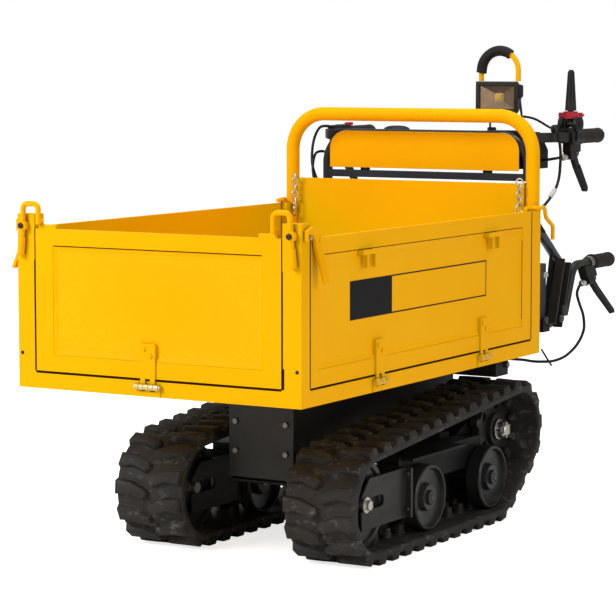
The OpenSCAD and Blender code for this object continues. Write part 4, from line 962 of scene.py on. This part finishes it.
adjusters = joinAs("cable_adjusters", [makeAdjuster(place) for place in bedPath(fittingShape["adjusters"])])
finishPiece(adjusters, "chassis", zincSteel, "zinc_steel")
clamp = turned("tube_clamp", fittingShape["clamp"], fromBed(*fittingShape["clampAt"]), "Y", 32)
finishPiece(clamp, "chassis", dullZinc, "zinc_steel")
for side, word in bothSides:
    sleeve = sweepTube(f"{word}_lever_sleeve", bedPath(fittingShape["sleeve"]), fittingShape["sleeveWide"])
    roundEdges(sleeve, 4, 3, 50)
    finishPiece(toSide(sleeve, side), f"{word}_lever_body", blackPlastic, "black_plastic")
print("fittings seated")


# Pressed fields of the gates, with sloping edges

fieldShape = {
    "front": ((-266, 0, 483), (266, 5, 722)),
    "side": ((355, 70, 483), (360, 1048, 722)),
    "slope": 11,
    "bare": 0.1,  # left behind the pressed part
}


def makeField(name, corners, axis, sign):
    low, high = corners
    field = bedBlock(name, low, high)
    pick(field, "FACE", facing(axis, sign))
    depth = fieldShape["bare"] - (high[axis] - low[axis])
    bpy.ops.mesh.inset(thickness=fieldShape["slope"] * mm, depth=depth * mm)
    return roundEdges(field, 1.5, 3, 15)


frontField = makeField("front_gate_field", fieldShape["front"], 1, -1)
finishPiece(frontField, "front_gate_body", yellowPaint, "yellow_paint", angle=12)
for side, word in bothSides:
    sideField = toSide(makeField(f"{word}_gate_field", fieldShape["side"], 0, 1), side)
    finishPiece(sideField, f"{word}_gate_body", yellowPaint, "yellow_paint", angle=12)
print("fields pressed")


# Painted shade: dark strips in the gaps round the gates and dark shadow lines at the edges of the gate fields; also
# hinge sleeves and strap rivets

# strips and sideStrips are dark strips that paint the shade in the gaps round the gates; the last two entries are
# thin strips that paint shadow lines at the edges of the gate fields
gapShadeShape = {
    "strips": (((-316, -0.5, 448), (-312.3, 11, 690)), ((312.3, -0.5, 448), (316, 11, 690)),
               ((-315, 0.1, 690), (-312.3, 11, 757)), ((312.3, 0.1, 690), (315, 11, 757)),
               ((-312, -0.5, 442), (312, 11, 445.8)), ((313, -0.8, 446), (319, 3, 489))),
    "sideStrips": (((348.5, 34.5, 448), (360.5, 37.7, 757)), ((348.5, 1098.3, 448), (360.5, 1101.5, 757)),
                   ((348.5, 38, 442.5), (360.5, 1098, 445.8))),
    # painted shadow lines: thin dark strips at the top of the front field and at the top and rear edges of the side
    # fields
    "frontShadowLine": ((-264, -0.2, 720.4), (264, 1, 722.4)),
    "sideShadowLines": (((359, 72, 720.6), (360.2, 1046, 722.4)), ((359, 1046.2, 500), (360.2, 1048, 690))),
}
hingeShape = {
    "places": {1: (332, 838), -1: (332, 838), 0: (-18,)},  # side 0 is the front hinge
    "axis": (7, 430),  # out from the gate's face and up
    "barrel": 61.6,
    "knuckle": 12.4,
    "gap": 0.5,
    "sleeve": 11,
    "radius": 7.1,
    "rivets": ((-9, 510), (8, 496)),
    "rivetOut": (3.5, 7),
    "rivetRadius": 5,
}


# painted shade: dark strips in the gaps round the gates
def makeGapShades():
    strips = list(gapShadeShape["strips"])
    for side, word in bothSides:
        strips += [onSide(side, strip) for strip in gapShadeShape["sideStrips"]]
    return joinAs("gate_gap_shades", [bedBlock("gap_shade_strip", low, high) for low, high in strips])


def atHinge(side, out, along, z):
    return (side * (bedShape["face"] + out), along, z) if side else (along, -out, z)


def makeSleeves(side, first):  # the fixed sleeves are 0, 2 and 4, the moving ones 1 and 3
    out, z = hingeShape["axis"]
    sleeves = []
    for at in hingeShape["places"][side]:
        for i in range(first, 5, 2):
            start = at - hingeShape["barrel"] / 2 + i * hingeShape["knuckle"] + hingeShape["gap"]
            ends = [atHinge(side, out, along, z) for along in (start, start + hingeShape["sleeve"])]
            sleeves.append(bedRod("sleeve", *ends, hingeShape["radius"], 24, 0.8))
    return sleeves


def makeRivets(side):
    rivets = []
    for at in hingeShape["places"][side]:
        for along, z in hingeShape["rivets"]:
            ends = [atHinge(side, out, at + along, z) for out in hingeShape["rivetOut"]]
            rivets.append(bedRod("rivet", *ends, hingeShape["rivetRadius"], 20, 2.2, 3))
    return rivets


chippedZinc = metalFinish("chipped_zinc", (0.70, 0.60, 0.36), (0.72, 0.44, 0.06), (0.35, 0.55), (1, 1, 1))
# the dark finish of the painted gap shade and of the front painted shadow line
gapShadeDark = plasticFinish("gap_shade_dark", (0.016, 0.005, 0.001), (0.030, 0.012, 0.003), (0.7, 0.9), 900, 0.0002, 0.03)
# the brown finish of the painted shadow lines on the side fields
shadowLineBrown = plasticFinish("painted_shadow_brown", (0.14, 0.050, 0.001), (0.22, 0.09, 0.002), (0.6, 0.8), 700, 0.0002, 0.05)
finishPiece(makeGapShades(), "bed", gapShadeDark, "grip_rubber")
fixedSleeves = joinAs("side_hinge_sleeves", makeSleeves(1, 0) + makeSleeves(-1, 0))
finishPiece(fixedSleeves, "bed", yellowPaint, "yellow_paint")
for side, word in (*bothSides, (0, "front")):
    sleeves = joinAs(f"{word}_hinge_sleeves", makeSleeves(side, 1))
    finishPiece(sleeves, f"{word}_gate_body", chippedZinc, "zinc_steel")
    rivets = joinAs(f"{word}_strap_rivets", makeRivets(side))
    finishPiece(rivets, f"{word}_gate_body", yellowPaint, "yellow_paint")
finishPiece(joinAs("bed_hinge_sleeves", makeSleeves(0, 0)), "bed", chippedZinc, "zinc_steel")
# painted shadow lines along the top of the front field, and along the top and rear edges of each side field
finishPiece(bedBlock("front_gate_shadow_line", *gapShadeShape["frontShadowLine"]), "front_gate_body", gapShadeDark, "grip_rubber")
for side, word in bothSides:
    shadowStrips = joinAs(f"{word}_gate_shadow_lines", [bedBlock("shadowStrip", *shadowStrip) for shadowStrip in gapShadeShape["sideShadowLines"]])
    finishPiece(toSide(shadowStrips, side), f"{word}_gate_body", shadowLineBrown, "yellow_paint")
print("seals and sleeves fitted")


# Plain plate on each side gate: a dark block beside an outlined field, with nothing on it

plateShape = {"rear": 862, "front": 211, "block": 395, "low": 572, "high": 656, "line": 3, "thick": 0.5,
              "face": 355.1}


def makePlate(name, y0, y1, hollow):
    shape = plateShape
    corners = [(y0, shape["low"]), (y1, shape["low"]), (y1, shape["high"]), (y0, shape["high"])]
    plate = addOutline(name, [fromBed(shape["face"], y, z) for y, z in corners])
    pick(plate)
    if hollow:
        bpy.ops.mesh.inset(thickness=shape["line"] * mm)
        bpy.ops.mesh.delete(type="FACE")
        pick(plate)
    pull(shape["thick"] * mm, 0, 0)
    return plate


foilBlack = plasticFinish("foil_black", (0.008, 0.007, 0.008), (0.016, 0.014, 0.015), (0.35, 0.5), 500, 0.0001, 0.07)
for side, word in bothSides:
    plates = [makePlate("block", plateShape["front"], plateShape["block"], False),
              makePlate("outline", plateShape["block"], plateShape["rear"], True)]
    plates = toSide(joinAs(f"{word}_gate_plate", plates), side)
    finishPiece(plates, f"{word}_gate_body", foilBlack, "black_plastic")
print("plates laid")


# Wheel caps, axle nuts and small fittings

wheelShape = {
    "rollers": ((288.3, 712, 109.5), (288.3, 1040, 109.5)),
    "cap": ((0, 0), (0, 17.4), (4.5, 17.4), (6.2, 16), (6.6, 11), (5.4, 10.6), (5.4, 9), (7.2, 8), (7.6, 0)),
    "axle": (250.9, 1151, 210),
    "nut": (0, 17.5, 21.5),  # from, to and radius
    "washer": (-0.3, 2.5, 26),
    "crown": ((17, 0), (17, 16), (22, 16), (23, 15), (23, 14.6), (24.5, 13), (24.5, 0)),
    "pin": ((20, -25, -12), (20, 23, 11)),
    "pinRadius": 2.4,
    "merlons": 6,
    "merlonAt": (19.5, 16.5),  # along the axle and out from it
    "merlonHalf": (3.5, 3.6, 3.6),
}


def makeNut(name, side):  # castle nut with a split pin through its slots
    x, y, z = axle = wheelShape["axle"]
    nut = crossRod("nut", wheelShape["nut"], axle, 6, 1.5)
    washer = crossRod("washer", wheelShape["washer"], axle, 32, 0.8)
    crown = turned("crown", wheelShape["crown"], fromBed(*axle), "X", 36)
    pinEnds = [(x + a, y + b, z + c) for a, b, c in wheelShape["pin"]]
    parts = [nut, washer, crown, bedRod("pin", *pinEnds, wheelShape["pinRadius"], 12, 0.8)]
    along, out = wheelShape["merlonAt"]
    half = Vector(wheelShape["merlonHalf"]) * mm
    for i in range(wheelShape["merlons"]):
        turn = math.tau * (i + 0.5) / wheelShape["merlons"]
        at = fromBed(x + along, y + out * math.cos(turn), z + out * math.sin(turn))
        parts.append(roundEdges(addBlock("merlon", at - half, at + half), 1))
    return toSide(joinAs(name, parts), side)


for side, word in bothSides:
    caps = [turned("cap", wheelShape["cap"], place, "X") for place in bedPath(wheelShape["rollers"])]
    caps = toSide(joinAs(f"{word}_roller_caps", caps), side)
    finishPiece(caps, "chassis", wheelPaint, "wheel_paint")
    finishPiece(makeNut(f"{word}_axle_nut", side), f"{word}_sprocket_body", zincSteel, "zinc_steel")

detailShape = {
    "plugsAt": ((350, 0, 484), (-350, 0, 484)),
    "plug": ((0.5, 0), (0.5, 4), (-0.8, 4), (-1.4, 3.2), (-1.4, 0)),
    "domeAt": (-116, 1292, 943.5),
    "dome": ((0, 0), (0, 34), (3, 33.5), (7, 29), (10, 20), (11, 9), (11, 0)),
    "socket": ((289, 1322, 576), (3, 17, 14), 1),  # corner, reach and edge
    "ways": [((291, 1323.5 + 5.2 * i, 579), (5, 3.6, 8), 0.8) for i in range(3)],
    "button": ((-335, 1404, 950), (16, 22, 8), 2.5),
    "hubAt": (335, 1376, 962),
    "hub": ((15.2, 0), (15.2, 21), (17, 23), (24, 23), (27, 20), (28.5, 13), (28.5, 8), (31, 7.4), (31, 0)),
    "lead": ((314, 1298, 940), (18, 28, 22), 7),
    "knobsAt": ((323.6, 1352, 472), (298.6, 1316, 470)),
    "knob": ((0, 0), (0, 9.5), (5, 9.5), (7, 8), (8, 5), (8, 0)),
    "footBolt": ((143, 1291, 943), (20, 15, 11), 3),
}


def makeDetail(name, place, reach, edge):  # a small rounded block
    block = addBlock(name, fromBed(*place), fromBed(*place) + Vector(reach) * mm)
    return roundEdges(block, edge, 3)


plugs = [turned("plug", detailShape["plug"], place, "Y", 20) for place in bedPath(detailShape["plugsAt"])]
finishPiece(joinAs("post_plugs", plugs), "bed", blackPlastic, "black_plastic")
dome = turned("box_dome", detailShape["dome"], fromBed(*detailShape["domeAt"]), "Z")
finishPiece(dome, "chassis", blackPlastic, "black_plastic")
socket = [makeDetail("socket", *block) for block in (detailShape["socket"], *detailShape["ways"])]
finishPiece(joinAs("box_socket", socket), "chassis", ferruleFinish, "grey_paint")
finishPiece(makeDetail("throttle_button", *detailShape["button"]), "chassis", redPlastic, "red_plastic")
hubProfiles = [[(sign * along, radius) for along, radius in detailShape["hub"]] for sign in (-1, 1)]
hubs = [turned("hub", profile, fromBed(*detailShape["hubAt"]), "X") for profile in hubProfiles]
hubs.append(makeDetail("lead", *detailShape["lead"]))
finishPiece(joinAs("lever_hubs", hubs), "chassis", blackPlastic, "black_plastic")
knobs = [turned("knob", detailShape["knob"], place, "X", 28) for place in bedPath(detailShape["knobsAt"])]
finishPiece(joinAs("channel_knobs", knobs), "chassis", greyPaint, "grey_paint")
finishPiece(makeDetail("lamp_foot_bolt", *detailShape["footBolt"]), "chassis", blackPlastic, "black_plastic")
print("small fittings seated")


# Floor

def layFloor():
    clearSelection()
    bpy.ops.mesh.primitive_plane_add(size=studio["floorSize"], location=(0, 0, 0))
    floor = settle("floor")
    finish, shader, coords = startFinish("studio_floor")
    cloud = ranged(grain(coords, 0.8), 0.3, 0.7)
    seen = addNode(shader, "LightPath").outputs["Is Camera Ray"]
    feed(shader, {
        "Base Color": tint(cloud, (0.86, 0.86, 0.86), (0.88, 0.88, 0.875)),
        "Roughness": 0.8,
        "Specular IOR Level": 0.1,
        "Emission Color": (1, 1, 1),
        "Emission Strength": times(seen, studio["floorGlow"]),
    })
    floor.data.materials.append(finish)


layFloor()
